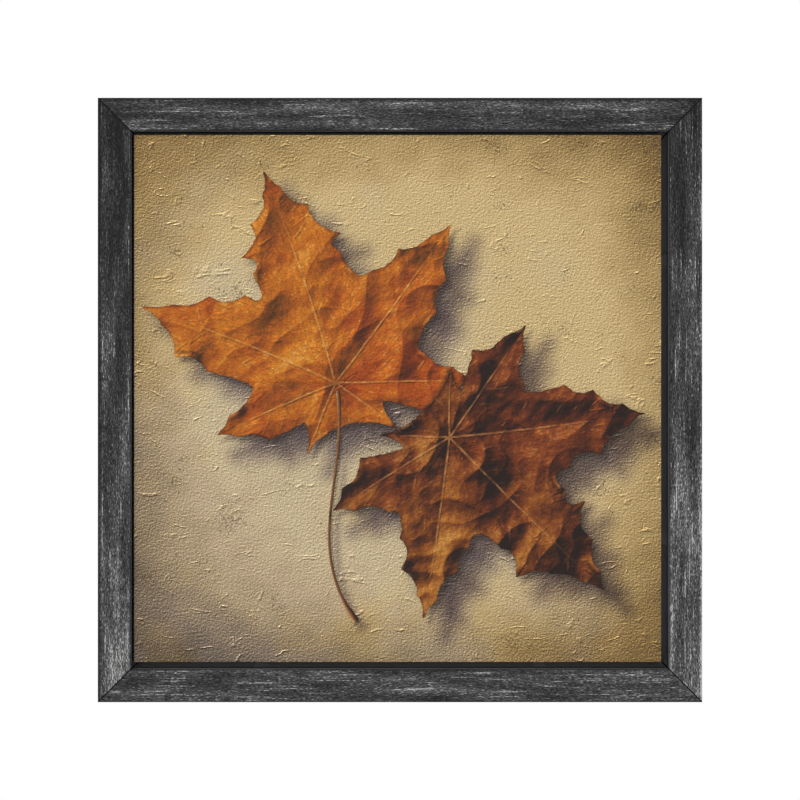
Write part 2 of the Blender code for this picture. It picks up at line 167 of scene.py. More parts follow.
@dataclass(frozen=True)
class DryBrushedBarnwood(Finish):
    """Charcoal stained pine with pale grey paint dragged along its grain.

    The brush skips over the open grain, so the eye sees fine broken streaks, a millimetre across
    and a few long, denser in some places than in others, over a nearly black stain. The mitre's
    joint shows nearly black. Along the outer arris the stain is laid as painted shade on the top and
    left rails, less on the bottom one, and the right one's arris takes painted light instead. The
    inner arris is darkened as painted shade, and the channel round the canvas is painted a lighter
    grey as painted light. How densely each rail is streaked also holds painted light and shade for
    its side.
    """

    streak_mm: tuple[float, float] = (6.5, 0.62)
    fleck_mm: tuple[float, float] = (2.3, 0.5)
    thread_mm: tuple[float, float] = (60.0, 1.1)
    cloud_mm: tuple[float, float] = (85.0, 10.0)
    dry_brushed: tuple[tuple[float, str], ...] = (
        (0.0, "#151516"), (0.25, "#2b2b2c"), (0.45, "#404041"), (0.62, "#555555"),
        (0.80, "#777777"), (0.92, "#9c9c9b"), (1.0, "#cccccb"),
    )
    # the stain, also laid along the outer and inner arris as painted shade
    stain: str = "#141415"
    # painted light: a mid grey, far lighter than the charcoal, where little light reaches into the
    # channel
    channel: str = "#7b7c80"
    joint: str = "#08080a"

    def dress(self, add: Add) -> dict[str, Any]:
        """Builds the stain, the broken streaks, the dark joints, the painted light and shade at the
        arrises, in the channel and on each side, and the grain's relief.

        Args:
            add: Adds a node to the material, as add_node() does.

        Returns:
            The shader's inputs.
        """
        uv = add("UVMap", {}, uv_map="grain")
        noises = []
        # the size of a cell along and over the grain, its detail, and where in the noise it is read
        for (along, over), detail, offset in (
            (self.cloud_mm, 2.0, 23.3),
            (self.streak_mm, 3.0, 3.1),
            (self.fleck_mm, 2.0, 11.7),
            (self.thread_mm, 1.0, 57.3),
        ):
            scale = (1 / (along * MM), 1 / (over * MM), 1)
            place = {"Vector": uv, "Location": (offset, offset * 1.7, 0), "Scale": scale}
            cells = {"Vector": add("Mapping", place), "Scale": 1.0, "Detail": detail}
            noises.append(add("TexNoise", {**cells, "Roughness": 0.62}, noise_dimensions="2D"))
        mottle, streaks, flecks, threads = noises
        masks = {
            name: add("Attribute", {}, "Fac", attribute_name=name)
            for name in ("across", "seam", "depth", "from_arris", "cover_and_side_light")
        }
        # each side's painted light and shade comes in with the amount of pale paint
        mixed = masks["cover_and_side_light"]
        for noise, weight in ((mottle, 0.42), (streaks, 0.60), (flecks, 0.66)):
            mixed = add("Math", {0: noise, 1: weight, 2: mixed}, operation="MULTIPLY_ADD")
        ends = {"From Min": 0.66, "From Max": 0.74, "To Max": 0.16}
        rare = add("MapRange", {"Value": threads, **ends})
        mixed = add("Math", {0: mixed, 1: rare}, operation="ADD")
        pale_paint_and_side_light = add("MapRange", {"Value": mixed, "From Min": 0.645, "From Max": 1.10})
        # distances in millimetres turned to shares: from and to, and the share at each
        for name, source, low, high, first, last in (
            ("arris", "from_arris", 0.4, 3.4, 0.0, 1.0),
            ("mitre", "seam", 0.25, 0.75, 0.0, 1.0),
            ("behind", "depth", 30.5, 31.8, 1.0, 0.55),
            ("wall", "across", 24.7, 25.3, 0.0, 1.0),
            ("before_back", "depth", 30.0, 31.5, 1.0, 0.0),
            ("below_face", "depth", 1.0, 2.2, 0.0, 1.0),
            ("inner_arris", "across", 24.1, 25.1, 1.0, 0.3),
            ("back", "depth", 30.0, 31.5, 0.0, 1.0),
        ):
            ends = {"From Min": low, "From Max": high, "To Min": first, "To Max": last}
            masks[name] = add("MapRange", {"Value": masks[source], **ends})
        # the outer arris takes painted shade unless its side takes painted light there, and the
        # inner arris is darkened as painted shade
        for name, one, other, how in (
            ("wall", "wall", "before_back", "MULTIPLY"),
            ("wall", "wall", "below_face", "MULTIPLY"),
            ("lip", "inner_arris", "back", "MAXIMUM"),
            ("clear_of_arris_shade", "arris", "behind", "MULTIPLY"),
            ("clear_of_arris_shade", "clear_of_arris_shade", "lip", "MULTIPLY"),
        ):
            masks[name] = add("Math", {0: masks[one], 1: masks[other]}, operation=how)
        # painted light: the channel's wall takes the lighter channel grey
        channel = add("MapRange", {"Value": masks["wall"], "To Min": 1.0, "To Max": 0.24})
        colour = add("ValToRGB", {"Fac": pale_paint_and_side_light}, stops=self.dry_brushed)
        for mask, code in (
            (masks["clear_of_arris_shade"], self.stain),
            (channel, self.channel),
            (masks["mitre"], self.joint),
        ):
            layers = {"Factor": mask, "A": tint(code), "B": colour}
            colour = add("Mix", layers, "Result", data_type="RGBA")
        return {
            "Base Color": colour,
            "Normal": add("Bump", {"Height": mixed, "Strength": 0.6, "Distance": 0.22 * MM}),
            "Roughness": add("MapRange", {"Value": pale_paint_and_side_light, "To Min": 0.60, "To Max": 0.85}),
            "IOR": 1.5,
            "Specular IOR Level": 0.14,
        }


@dataclass(frozen=True)
class PlanedPine(Finish):
    """Bare planed pine: straw yellow, with brown late wood in lines a few millimetres apart."""

    along: int = 0
    board_mm: float = 14.0
    ring_mm: float = 3.4
    fibre_mm: float = 0.5
    stretch: float = 0.06

    def dress(self, add: Add) -> dict[str, Any]:
        """Builds the ring lines, the pores and a soft roughness.

        Args:
            add: Adds a node to the material, as add_node() does.

        Returns:
            The shader's inputs.
        """
        squeeze = [1.0, 1.0, 1.0]
        squeeze[self.along] = self.stretch
        lined = add("Mapping", {"Vector": add("TexCoord", {}, "Object"), "Scale": squeeze})
        noises = []
        for size_mm, detail, bent in (
            (self.board_mm, 3.0, 0.0),
            (self.ring_mm, 5.0, 0.4),
            (self.fibre_mm, 2.0, 0.0),
        ):
            cells = {"Vector": lined, "Scale": 1 / (size_mm * MM), "Detail": detail}
            noises.append(add("TexNoise", {**cells, "Distortion": bent}))
        warp, rings, fibres = noises
        both = add("Math", {0: warp, 1: rings}, operation="ADD")
        late = add("Math", {0: both, 1: 0.9}, operation="MULTIPLY")
        woods = ((0.70, "#e2c493"), (0.95, "#d3ab73"), (1.0, "#b9894f"))
        return {
            "Base Color": add("ValToRGB", {"Fac": late}, stops=woods),
            "Normal": add("Bump", {"Height": fibres, "Strength": 0.4, "Distance": 0.1 * MM}),
            "Roughness": 0.68,
            "IOR": 1.52,
        }


@dataclass(frozen=True)
class WovenCanvas(Finish):
    """Plain-weave cotton duck: cream threads over and under each other.

    Real threads are about 0.6 mm apart. They are drawn at 1 mm, so that they show.
    """

    thread_mm: float = 1.0
    slub_mm: float = 6.0

    def dress(self, add: Add) -> dict[str, Any]:
        """Builds the crossing threads and their slubs.

        Args:
            add: Adds a node to the material, as add_node() does.

        Returns:
            The shader's inputs.
        """
        place = add("TexCoord", {}, "Object")
        # a wave texture has one wave to each 0.314 of its scale
        scale = 1 / (self.thread_mm * MM) * 0.314
        bands = {"Vector": place, "Scale": scale, "Distortion": 0.6, "Detail": 1.0}
        warp, weft = (add("TexWave", bands, "Fac", bands_direction=way) for way in "XZ")
        weave = add("Math", {0: warp, 1: weft}, operation="MULTIPLY")
        slubs = add("TexNoise", {"Vector": place, "Scale": 1 / (self.slub_mm * MM), "Detail": 4.0})
        tone = add("Math", {0: weave, 1: slubs}, operation="MULTIPLY")
        creams = ((0.0, "#a8987a"), (0.35, "#cdbf9f"), (0.7, "#e2d7bc"))
        return {
            "Base Color": add("ValToRGB", {"Fac": tone}, stops=creams),
            "Normal": add("Bump", {"Height": weave, "Strength": 0.5, "Distance": 0.2 * MM}),
            "Roughness": 0.9,
            "Sheen Weight": 0.2,
        }


@dataclass(frozen=True)
class PlasterRelief:
    """The plaster's surface: ridges mostly across, pits, and raised wrinkles over them."""

    ridge_mm: float = 1.75
    pit_mm: float = 1.05
    wrinkle_mm: float = 30.0
    gate_mm: float = 17.0
    emboss_shift_mm: float = 0.65

    def height(self, add: Add, place: Any) -> Any:
        """Builds the height at a place.

        Args:
            add: Adds a node to the material, as add_node() does.
            place: The output that gives the place.

        Returns:
            The output that gives the height.
        """
        noises = []
        # cell size, stretch across and up, detail, turn in degrees, and how far it is bent
        for size_mm, (across, up), detail, turn, bent in (
            (self.ridge_mm, (0.85, 1.1), 2.0, 8.0, 0.0),
            (self.pit_mm, (1.0, 1.0), 1.0, 0.0, 0.0),
            (self.wrinkle_mm, (0.6, 1.2), 3.0, 12.0, 0.5),
            (self.gate_mm, (1.0, 1.0), 3.0, 50.0, 0.0),
            (self.wrinkle_mm, (0.5, 1.2), 3.0, 66.0, 0.5),
            (self.gate_mm, (1.0, 1.0), 3.0, -30.0, 0.0),
        ):
            lean = (0, math.radians(turn), 0)
            laid = {"Vector": place, "Rotation": lean, "Scale": (across, 0.0, up)}
            cells = {"Scale": 1 / (size_mm * MM), "Detail": detail, "Distortion": bent}
            noises.append(add("TexNoise", {"Vector": add("Mapping", laid), **cells}))
        ridges, pits, *wrinkles = noises
        total = add("Math", {0: pits, 1: 0.75, 2: ridges}, operation="MULTIPLY_ADD")
        for wander, patches in zip(wrinkles[::2], wrinkles[1::2]):
            # a wrinkle runs where its noise crosses the middle, and only inside the patches
            off = add("Math", {0: wander, 1: 0.5}, operation="SUBTRACT")
            off = add("Math", {0: off}, operation="ABSOLUTE")
            line = add("MapRange", {"Value": off, "From Max": 0.014, "To Min": 0.70, "To Max": 0.0})
            gate = add("MapRange", {"Value": patches, "From Min": 0.55, "From Max": 0.63})
            total = add("Math", {0: line, 1: gate, 2: total}, operation="MULTIPLY_ADD")
        return total

    def painted_emboss(self, add: Add, colour: Any, amount: Any) -> tuple[Any, Any]:
        """Paints light on the upper left side of each ridge and shade on its lower right side.

        Args:
            add: Adds a node to the material, as add_node() does.
            colour: The colour under the wax.
            amount: How many times lighter a side is for one unit of height over its neighbour.

        Returns:
            The colour with its painted light and shade, and the height.
        """
        place = add("TexCoord", {}, "Object")
        # painted light and shade: each place is compared with the height a little to its upper left,
        # where the light comes from
        toward_light = (-0.6 * self.emboss_shift_mm * MM, 0, self.emboss_shift_mm * MM)
        place_toward_light = add("Mapping", {"Vector": place, "Location": toward_light})
        height = self.height(add, place)
        rise_toward_light = add("Math", {0: height, 1: self.height(add, place_toward_light)}, operation="SUBTRACT")
        tone = add("Math", {0: amount, 1: rise_toward_light}, operation="POWER")
        layers = {"Factor": 1.0, "A": colour, "B": tone}
        return add("Mix", layers, "Result", data_type="RGBA", blend_type="MULTIPLY"), height


@dataclass(frozen=True)
class TrowelledPlaster(Finish):
    """Tinted plaster trowelled thinly on the cloth, then chipped.

    Its ridges and wrinkles carry painted light on their upper left sides and painted shade on their
    lower right sides, and small chips show darker.
    """

    relief: PlasterRelief = PlasterRelief()
    # how strongly light and shade are painted onto the relief, where the tint is light and where it
    # is darkest
    emboss_light: float = 5.2
    emboss_light_in_dark: float = 20.0
    chip_mm: float = 1.8
    chipped_mm: float = 30.0
    chip: str = "#4d4030"

    def dress(self, add: Add) -> dict[str, Any]:
        """Paints light and shade onto the relief, lays chips over the painted tones, and raises the
        relief.

        Args:
            add: Adds a node to the material, as add_node() does.

        Returns:
            The shader's inputs.
        """
        paint = add("Attribute", {}, "Color", attribute_name="paint")
        place = add("TexCoord", {}, "Object")
        # the painted light and shade on the relief is stronger where the tint is darker, so the
        # relief is as crisp in the corners
        bright = add("RGBToBW", {"Color": paint})
        ends = {"From Min": 0.13, "From Max": 0.36, "To Min": self.emboss_light_in_dark, "To Max": self.emboss_light}
        emboss_light = add("MapRange", {"Value": bright, **ends})
        painted_emboss, height = self.relief.painted_emboss(add, paint, emboss_light)
        chips, groups = (
            add("TexNoise", {"Vector": place, "Scale": 1 / (size_mm * MM), "Detail": 2.0})
            for size_mm in (self.chip_mm, self.chipped_mm)
        )
        spots = add("Math", {0: chips, 1: groups}, operation="ADD")
        spots = add("MapRange", {"Value": spots, "From Min": 1.25, "From Max": 1.33, "To Max": 0.6})
        low = add("Math", {0: spots, 1: -0.8, 2: height}, operation="MULTIPLY_ADD")
        layers = {"Factor": spots, "A": painted_emboss, "B": tint(self.chip)}
        return {
            "Base Color": add("Mix", layers, "Result", data_type="RGBA"),
            "Normal": add("Bump", {"Height": low, "Strength": 1.0, "Distance": 0.75 * MM}),
            "Roughness": 0.7,
            "Specular IOR Level": 0.25,
        }


@dataclass(frozen=True)
class BrushedOilPaint(Finish):
    """Oil paint brushed thinly: the plaster's ridges, with their painted light and shade, and the
    bristles' tracks show in it.
    """

    relief: PlasterRelief = PlasterRelief()
    # how strongly light and shade are painted onto the plaster's ridges
    emboss_light: float = 2.1
    bristle_mm: tuple[float, float] = (4.2, 0.6)
    tooth_mm: float = 1.0

    def dress(self, add: Add) -> dict[str, Any]:
        """Builds the bristle tracks and the tooth over the painted colours, and paints light and
        shade on the plaster's ridges.

        Args:
            add: Adds a node to the material, as add_node() does.

        Returns:
            The shader's inputs.
        """
        paint = add("Attribute", {}, "Color", attribute_name="paint")
        place = add("TexCoord", {}, "Object")
        uv = add("UVMap", {}, uv_map="stroke")
        scale = (1 / (self.bristle_mm[0] * MM), 1 / (self.bristle_mm[1] * MM), 1)
        laid = add("Mapping", {"Vector": uv, "Scale": scale})
        cells = {"Vector": laid, "Scale": 1.0, "Detail": 3.0}
        tracks = add("TexNoise", cells, noise_dimensions="2D")
        tooth = add("TexNoise", {"Vector": place, "Scale": 1 / (self.tooth_mm * MM), "Detail": 2.0})
        both = add("Math", {0: tracks, 1: tooth}, operation="ADD")
        ends = {"Value": both, "From Min": 0.70, "From Max": 1.30, "To Min": 0.83, "To Max": 1.17}
        layers = {"Factor": 1.0, "A": paint, "B": add("MapRange", ends)}
        toned = add("Mix", layers, "Result", data_type="RGBA", blend_type="MULTIPLY")
        # painted light and shade on the plaster's ridges under the paint
        painted_emboss, height = self.relief.painted_emboss(add, toned, self.emboss_light)
        total = add("Math", {0: both, 1: height}, operation="ADD")
        return {
            "Base Color": painted_emboss,
            "Normal": add("Bump", {"Height": total, "Strength": 0.8, "Distance": 0.40 * MM}),
            "Roughness": 0.55,
            "Specular IOR Level": 0.3,
        }


@dataclass(frozen=True)
class ZincPlatedSteel(Finish):
    """Bright zinc plating: pale blue-grey steel with faint cloudy spangle."""

    spangle_mm: float = 3.2

    def dress(self, add: Add) -> dict[str, Any]:
        """Builds the spangle in colour and roughness.

        Args:
            add: Adds a node to the material, as add_node() does.

        Returns:
            The shader's inputs.
        """
        place = add("TexCoord", {}, "Object")
        cells = {"Vector": place, "Scale": 1 / (self.spangle_mm * MM), "Detail": 1.5}
        cloud = add("TexNoise", cells)
        greys = ((0.3, "#a3a6aa"), (0.6, "#b9bcbf"), (0.8, "#cbcac3"))
        return {
            "Base Color": add("ValToRGB", {"Fac": cloud}, stops=greys),
            "Roughness": add("MapRange", {"Value": cloud, "To Min": 0.22, "To Max": 0.48}),
            "Metallic": 1.0,
        }


@dataclass(frozen=True)
class MouldedRubber(Finish):
    """Black moulded rubber: matt, with the mould's fine stipple."""

    stipple_mm: float = 0.4

    def dress(self, add: Add) -> dict[str, Any]:
        """Builds the stipple and a dusty bloom.

        Args:
            add: Adds a node to the material, as add_node() does.

        Returns:
            The shader's inputs.
        """
        place = add("TexCoord", {}, "Object")
        cells = {"Vector": place, "Scale": 1 / (self.stipple_mm * MM), "Detail": 2.0}
        stipple = add("TexNoise", cells)
        blacks = ((0.35, "#161617"), (0.7, "#2b2b2c"))
        return {
            "Base Color": add("ValToRGB", {"Fac": stipple}, stops=blacks),
            "Normal": add("Bump", {"Height": stipple, "Strength": 0.4, "Distance": 0.08 * MM}),
            "Roughness": 0.85,
            "IOR": 1.52,
        }


@dataclass(frozen=True)
class StudioPaper(Finish):
    """Plain white background paper."""

    def dress(self, add: Add) -> dict[str, Any]:
        """Sets an even, matt, nearly white surface."""
        return {"Base Color": tint("#f4f4f2"), "Roughness": 0.9}


# ------------------------------------------------------------------ modelling helpers


def deselect() -> None:
    """Leaves edit mode and clears the selection."""
    if bpy.context.object and bpy.context.object.mode != "OBJECT":
        bpy.ops.object.mode_set(mode="OBJECT")
    bpy.ops.object.select_all(action="DESELECT")


def pick(piece: Piece) -> None:
    """Makes one object the only selected and active one.

    Args:
        piece: The object.
    """
    deselect()
    piece.select_set(True)
    bpy.context.view_layer.objects.active = piece


def edit(piece: Piece, mode: str = "VERT", mask: Array | None = None) -> None:
    """Opens an object in edit mode with nothing selected, or only what the mask marks.

    Args:
        piece: The object.
        mode: VERT, EDGE or FACE.
        mask: One flag to each edge or face, by the mode.
    """
    pick(piece)
    bpy.ops.object.mode_set(mode="EDIT")
    bpy.ops.mesh.select_mode(type=mode)
    bpy.ops.mesh.select_all(action="DESELECT")
    if mask is not None:
        bpy.ops.object.mode_set(mode="OBJECT")
        (piece.data.edges if mode == "EDGE" else piece.data.polygons).foreach_set("select", mask)
        bpy.ops.object.mode_set(mode="EDIT")


def read(items: Any, name: str, width: int = 1, kind: type = np.int32) -> Array:
    """Reads one property of every vertex, edge, face or face corner.

    Args:
        items: The mesh's vertices, edges, polygons or loops.
        name: The property.
        width: How many numbers it has.
        kind: Their type.

    Returns:
        One row to each item, or one number where the width is 1.
    """
    flat = np.empty(len(items) * width, dtype=kind)
    items.foreach_get(name, flat)
    return flat if width == 1 else flat.reshape(-1, width)


def points_of(piece: Piece) -> Array:
    """Reads an object's vertices as rows of x, y and z."""
    return read(piece.data.vertices, "co", 3, float)


def move_points(piece: Piece, points: Array) -> None:
    """Writes an object's vertices."""
    piece.data.vertices.foreach_set("co", points.ravel())
    piece.data.update()


def edge_ends(piece: Piece) -> Array:
    """Reads the two vertex numbers of every edge."""
    return read(piece.data.edges, "vertices", 2)


def border_edges(piece: Piece) -> Array:
    """Marks the edges that only one face uses."""
    used = read(piece.data.loops, "edge_index")
    return np.bincount(used, minlength=len(piece.data.edges)) == 1


def settle(piece: Piece, name: str) -> Piece:
    """Names an object and puts its place, turn and size into its mesh.

    Args:
        piece: The object.
        name: Its new name.

    Returns:
        The object.
    """
    piece.name = name
    piece.data.name = name
    pick(piece)
    bpy.ops.object.transform_apply(location=True, rotation=True, scale=True)
    return piece


def cut_with(piece: Piece, cutter: Piece) -> None:
    """Takes the cutter out of the piece, and removes the cutter.

    Args:
        piece: The object that stays.
        cutter: The object that is cut out of it.
    """
    pick(piece)
    modifier = piece.modifiers.new("cut", "BOOLEAN")
    modifier.operation = "DIFFERENCE"
    modifier.solver = "EXACT"
    modifier.object = cutter
    bpy.ops.object.modifier_apply(modifier=modifier.name)
    bpy.data.objects.remove(cutter)


def clean(piece: Piece, sliver: float = 5e-6) -> None:
    """Merges the doubles and slivers that cutting leaves, and closes any gap between them.

    Args:
        piece: The object.
        sliver: The distance below which two points are one.
    """
    edit(piece)
    bpy.ops.mesh.select_all(action="SELECT")
    bpy.ops.mesh.remove_doubles(threshold=sliver)
    bpy.ops.mesh.dissolve_degenerate(threshold=sliver)
    bpy.ops.mesh.select_all(action="SELECT")
    bpy.ops.mesh.fill_holes(sides=8)
    bpy.ops.object.mode_set(mode="OBJECT")


def store(piece: Piece, name: str, values: Array) -> None:
    """Stores a number or a linear colour to each vertex as a named attribute.

    Args:
        piece: The object.
        name: The attribute's name.
        values: One number, or one row of three, to each vertex.
    """
    if values.ndim == 1:
        layer = piece.data.attributes.new(name, "FLOAT", "POINT")
        layer.data.foreach_set("value", values.astype(np.float32))
    else:
        layer = piece.data.attributes.new(name, "FLOAT_COLOR", "POINT")
        values = np.column_stack([values, np.ones(len(values))])
        layer.data.foreach_set("color", values.astype(np.float32).ravel())


def store_uv(piece: Piece, name: str, values: Array) -> None:
    """Stores a UV map given at each face corner."""
    layer = piece.data.uv_layers.new(name=name)
    layer.data.foreach_set("uv", values.astype(np.float32).ravel())


def finish_with(piece: Piece, material: bpy.types.Material, degrees: float = 0.0) -> None:
    """Gives an object its material and its shading.

    Args:
        piece: The object.
        material: Its only material.
        degrees: Edges sharper than this stay sharp, and 0 leaves it flat.
    """
    piece.data.materials.clear()
    piece.data.materials.append(material)
    if degrees:
        pick(piece)
        bpy.ops.object.shade_smooth_by_angle(angle=math.radians(degrees))
    LOG.info("%s: %d faces", piece.name, len(piece.data.polygons))


# ------------------------------------------------------------------ fields of the painting


def smoothstep(low: float, high: float, x: Array) -> Array:
    """Rises smoothly from 0 at low to 1 at high."""
    t = np.clip((x - low) / (high - low), 0.0, 1.0)
    return t * t * (3.0 - 2.0 * t)


def bell(x: Array, width: float) -> Array:
    """Falls smoothly from 1 at 0 to nearly nothing at twice the width."""
    return np.exp(-((x / width) ** 2))


def lattice_noise(u: Array, v: Array, seed: int) -> Array:
    """Gradient noise on the unit lattice.

    Args:
        u: First coordinate, in cells.
        v: Second coordinate, in cells.
        seed: Which noise.

    Returns:
        Values from about -1 to 1.
    """
    i, j = np.floor(u).astype(np.int64), np.floor(v).astype(np.int64)
    fu, fv = u - i, v - j
    su = fu * fu * fu * (fu * (fu * 6 - 15) + 10)
    sv = fv * fv * fv * (fv * (fv * 6 - 15) + 10)

    def corner(di: int, dj: int) -> Array:
        """The slope of one lattice corner, seen from the point."""
        # large odd numbers stir the corner's place and the seed into an even spread of angles
        mixed = ((i + di) * 374761393 + (j + dj) * 668265263 + seed * 362437) & 0xFFFFFFFF
        mixed = ((mixed ^ (mixed >> 13)) * 1274126177) & 0xFFFFFFFF
        angle = ((mixed ^ (mixed >> 16)) & 0xFFFF) * (math.tau / 65536)
        return np.cos(angle) * (fu - di) + np.sin(angle) * (fv - dj)

    near = corner(0, 0) * (1 - su) + corner(1, 0) * su
    far = corner(0, 1) * (1 - su) + corner(1, 1) * su
    return 1.5 * (near * (1 - sv) + far * sv)


def clouds(u: Array, v: Array, size: float, octaves: int, seed: int) -> Array:
    """Several octaves of noise, from about -1 to 1.

    Args:
        u: First coordinate.
        v: Second coordinate.
        size: Size of the largest cell, in the coordinates' unit.
        octaves: How many noises are laid over each other, each half the size of the last.
        seed: Which noise.

    Returns:
        The noise at each point.
    """
    total = np.zeros(np.shape(u))
    weight, weights = 1.0, 0.0
    for octave in range(octaves):
        across, down = u / size + 17.3 * octave, v / size - 9.1 * octave
        total += weight * lattice_noise(across, down, seed + 101 * octave)
        weights += weight
        weight *= 0.5
        size /= 2.03
    return total / weights


def ramp(x: Array, stops: Sequence[float], codes: Sequence[str]) -> Array:
    """Looks values up in a row of colours.

    Args:
        x: Values from 0 to 1.
        stops: The value of each colour, in order.
        codes: The sRGB hex colours.

    Returns:
        sRGB colours, in a last axis of three.
    """
    colours = np.array([srgb(code) for code in codes])
    return np.stack([np.interp(x, stops, colours[:, k]) for k in range(3)], axis=-1)


def blend(under: Array, over: Array, amount: Array) -> Array:
    """Lays one colour over another by an amount from 0 to 1 at each point."""
    amount = amount[..., None]
    return under * (1 - amount) + over * amount


class Plot:
    """A rectangle of the painting, as an even grid of points in millimetres."""

    def __init__(self, low: Sequence[float], high: Sequence[float], step: float) -> None:
        """Lays the grid out.

        Args:
            low: Lowest u and v.
            high: Highest u and v.
            step: Distance between points.
        """
        self.step = step
        self.across = np.arange(low[0], high[0] + step, step)
        self.up = np.arange(low[1], high[1] + step, step)
        self.u, self.v = np.meshgrid(self.across, self.up)

    def window(self, low: Array, high: Array) -> tuple[slice, slice]:
        """Finds the part of the plot between two corners.

        Args:
            low: Lowest u and v.
            high: Highest u and v.

        Returns:
            Its rows and its columns.
        """
        first = np.floor((low - (self.across[0], self.up[0])) / self.step).astype(int)
        last = np.ceil((high - (self.across[0], self.up[0])) / self.step).astype(int) + 1
        first, last = np.maximum(first, 0), np.maximum(last, 0)
        return slice(first[1], last[1]), slice(first[0], last[0])

    def sample(self, values: Array, u: Array, v: Array, outside: float | None = None) -> Array:
        """Reads a field between its points.

        Args:
            values: The field, with or without a last axis of colours.
            u: Where to read it.
            v: Where to read it.
            outside: The value beyond the plot, or None for that of its nearest point.

        Returns:
            The values there.
        """
        x = (u - self.across[0]) / self.step
        y = (v - self.up[0]) / self.step
        rows, columns = self.u.shape
        i = np.clip(np.floor(x).astype(int), 0, columns - 2)
        j = np.clip(np.floor(y).astype(int), 0, rows - 2)
        fx, fy = np.clip(x - i, 0, 1), np.clip(y - j, 0, 1)
        if values.ndim == 3:
            fx, fy = fx[..., None], fy[..., None]
        low = values[j, i] * (1 - fx) + values[j, i + 1] * fx
        high = values[j + 1, i] * (1 - fx) + values[j + 1, i + 1] * fx
        inside = low * (1 - fy) + high * fy
        if outside is None:
            return inside
        beyond = (x < 0) | (y < 0) | (x > columns - 1) | (y > rows - 1)
        return np.where(beyond, outside, inside)

    def distance_to(self, outline: Array, reach: float) -> tuple[Array, Array]:
        """Measures how far each point of the plot is from a closed outline.

        Args:
            outline: The outline's points, in order.
            reach: The largest distance that matters.

        Returns:
            The distance, negative inside, and the length along the outline to the nearest place.
        """
        best = np.full(self.u.shape, reach * reach)
        along = np.zeros(self.u.shape)
        winding = np.zeros((self.u.shape[0], self.u.shape[1] + 1), dtype=np.int32)
        ends = np.roll(outline, -1, axis=0)
        lengths = np.linalg.norm(ends - outline, axis=1)
        starts = np.concatenate([[0.0], np.cumsum(lengths)[:-1]])
        for a, b, length, start in zip(outline, ends, lengths, starts):
            run = b - a
            here = self.window(np.minimum(a, b) - reach, np.maximum(a, b) + reach)
            du, dv = self.u[here] - a[0], self.v[here] - a[1]
            t = np.clip((du * run[0] + dv * run[1]) / (length * length + 1e-12), 0, 1)
            gap = (du - t * run[0]) ** 2 + (dv - t * run[1]) ** 2
            nearer = gap < best[here]
            best[here] = np.where(nearer, gap, best[here])
            along[here] = np.where(nearer, start + t * length, along[here])
            first, last = np.searchsorted(self.up, sorted((a[1], b[1])))
            if last > first:
                crossing = a[0] + (self.up[first:last] - a[1]) * run[0] / run[1]
                column = np.searchsorted(self.across, crossing)
                winding[np.arange(first, last), column] += 1 if run[1] > 0 else -1
        inside = np.cumsum(winding, axis=1)[:, :-1] != 0
        distance = np.sqrt(best)
        return np.where(inside, -distance, distance), along


class Margin(Enum):
    """How one side of a lobe is toothed, from its foot to its tip.

    Each row is one tooth and the notch behind it: how far along the midrib, and how far out as a
    share of the lobe's half width.
    """

    PLAIN = ()
    ONE = ((0.66, 0.85, 0.76, 0.34),)
    TWO = ((0.62, 1.00, 0.70, 0.46), (0.83, 0.40, 0.87, 0.18))
    THREE = ((0.59, 0.96, 0.65, 0.62), (0.74, 0.76, 0.80, 0.32), (0.89, 0.26, 0.915, 0.12))
    FOUR = (
        (0.55, 0.92, 0.60, 0.68),
        (0.66, 1.00, 0.715, 0.56),
        (0.79, 0.62, 0.83, 0.27),
        (0.91, 0.22, 0.93, 0.10),
    )


@dataclass(frozen=True)
class Lobe:
    """One lobe of a leaf, about its midrib.

    heading is the midrib's direction in degrees from +u, length is in millimetres, width is the
    half width as a share of the length, bend is how far the tip swings to the left as a share of
    the length, and sinus is the depth of the gap before the next lobe, as a share of the two
    lobes' mean length. gold and tone lean the lobe's colour to ochre and to light.
    """

    heading: float
    length: float
    width: float
    right: Margin
    left: Margin
    bend: float
    sinus: float
    gold: float
    tone: float

    def place(self, junction: Array, along: float, side: float) -> Array:
        """Finds a point of the lobe.

        Args:
            junction: Where the leaf's midribs meet.
            along: Share of the length along the midrib.
            side: Share of the length to the left of the midrib.

        Returns:
            The point's u and v.
        """
        angle = math.radians(self.heading)
        forward = np.array([math.cos(angle), math.sin(angle)])
        left = np.array([-forward[1], forward[0]])
        sideways = self.bend * along * along + side
        return junction + self.length * (along * forward + sideways * left)


# A general maple leaf, as shares of its middle lobe: direction from the axis in degrees, length,
# half width, toothing of each side, and the gap before the next lobe.
GENERAL_MAPLE = (
    (-139, 0.34, 0.20, Margin.PLAIN, Margin.ONE, 0.62),
    (-100, 0.62, 0.22, Margin.TWO, Margin.TWO, 0.47),
    (-50, 0.90, 0.205, Margin.THREE, Margin.THREE, 0.45),
    (0, 1.00, 0.21, Margin.FOUR, Margin.FOUR, 0.45),
    (50, 0.90, 0.205, Margin.THREE, Margin.THREE, 0.47),
    (100, 0.62, 0.22, Margin.TWO, Margin.TWO, 0.62),
    (139, 0.34, 0.20, Margin.ONE, Margin.PLAIN, 0.30),
)
# the painted light comes from the upper left, in front: u, v and towards the viewer
LIGHT = np.array([-0.62, 0.62, 0.48])


@dataclass(frozen=True)
class Palette:
    """The oil colours of one leaf, from its darkest tone to its lightest."""

    red: tuple[str, ...]
    gold: tuple[str, ...]
    vein: str
    rim: str
    base: float
    contrast: float
    stops: tuple[float, ...] = (0.0, 0.18, 0.35, 0.5, 0.65, 0.8, 0.92, 1.0)


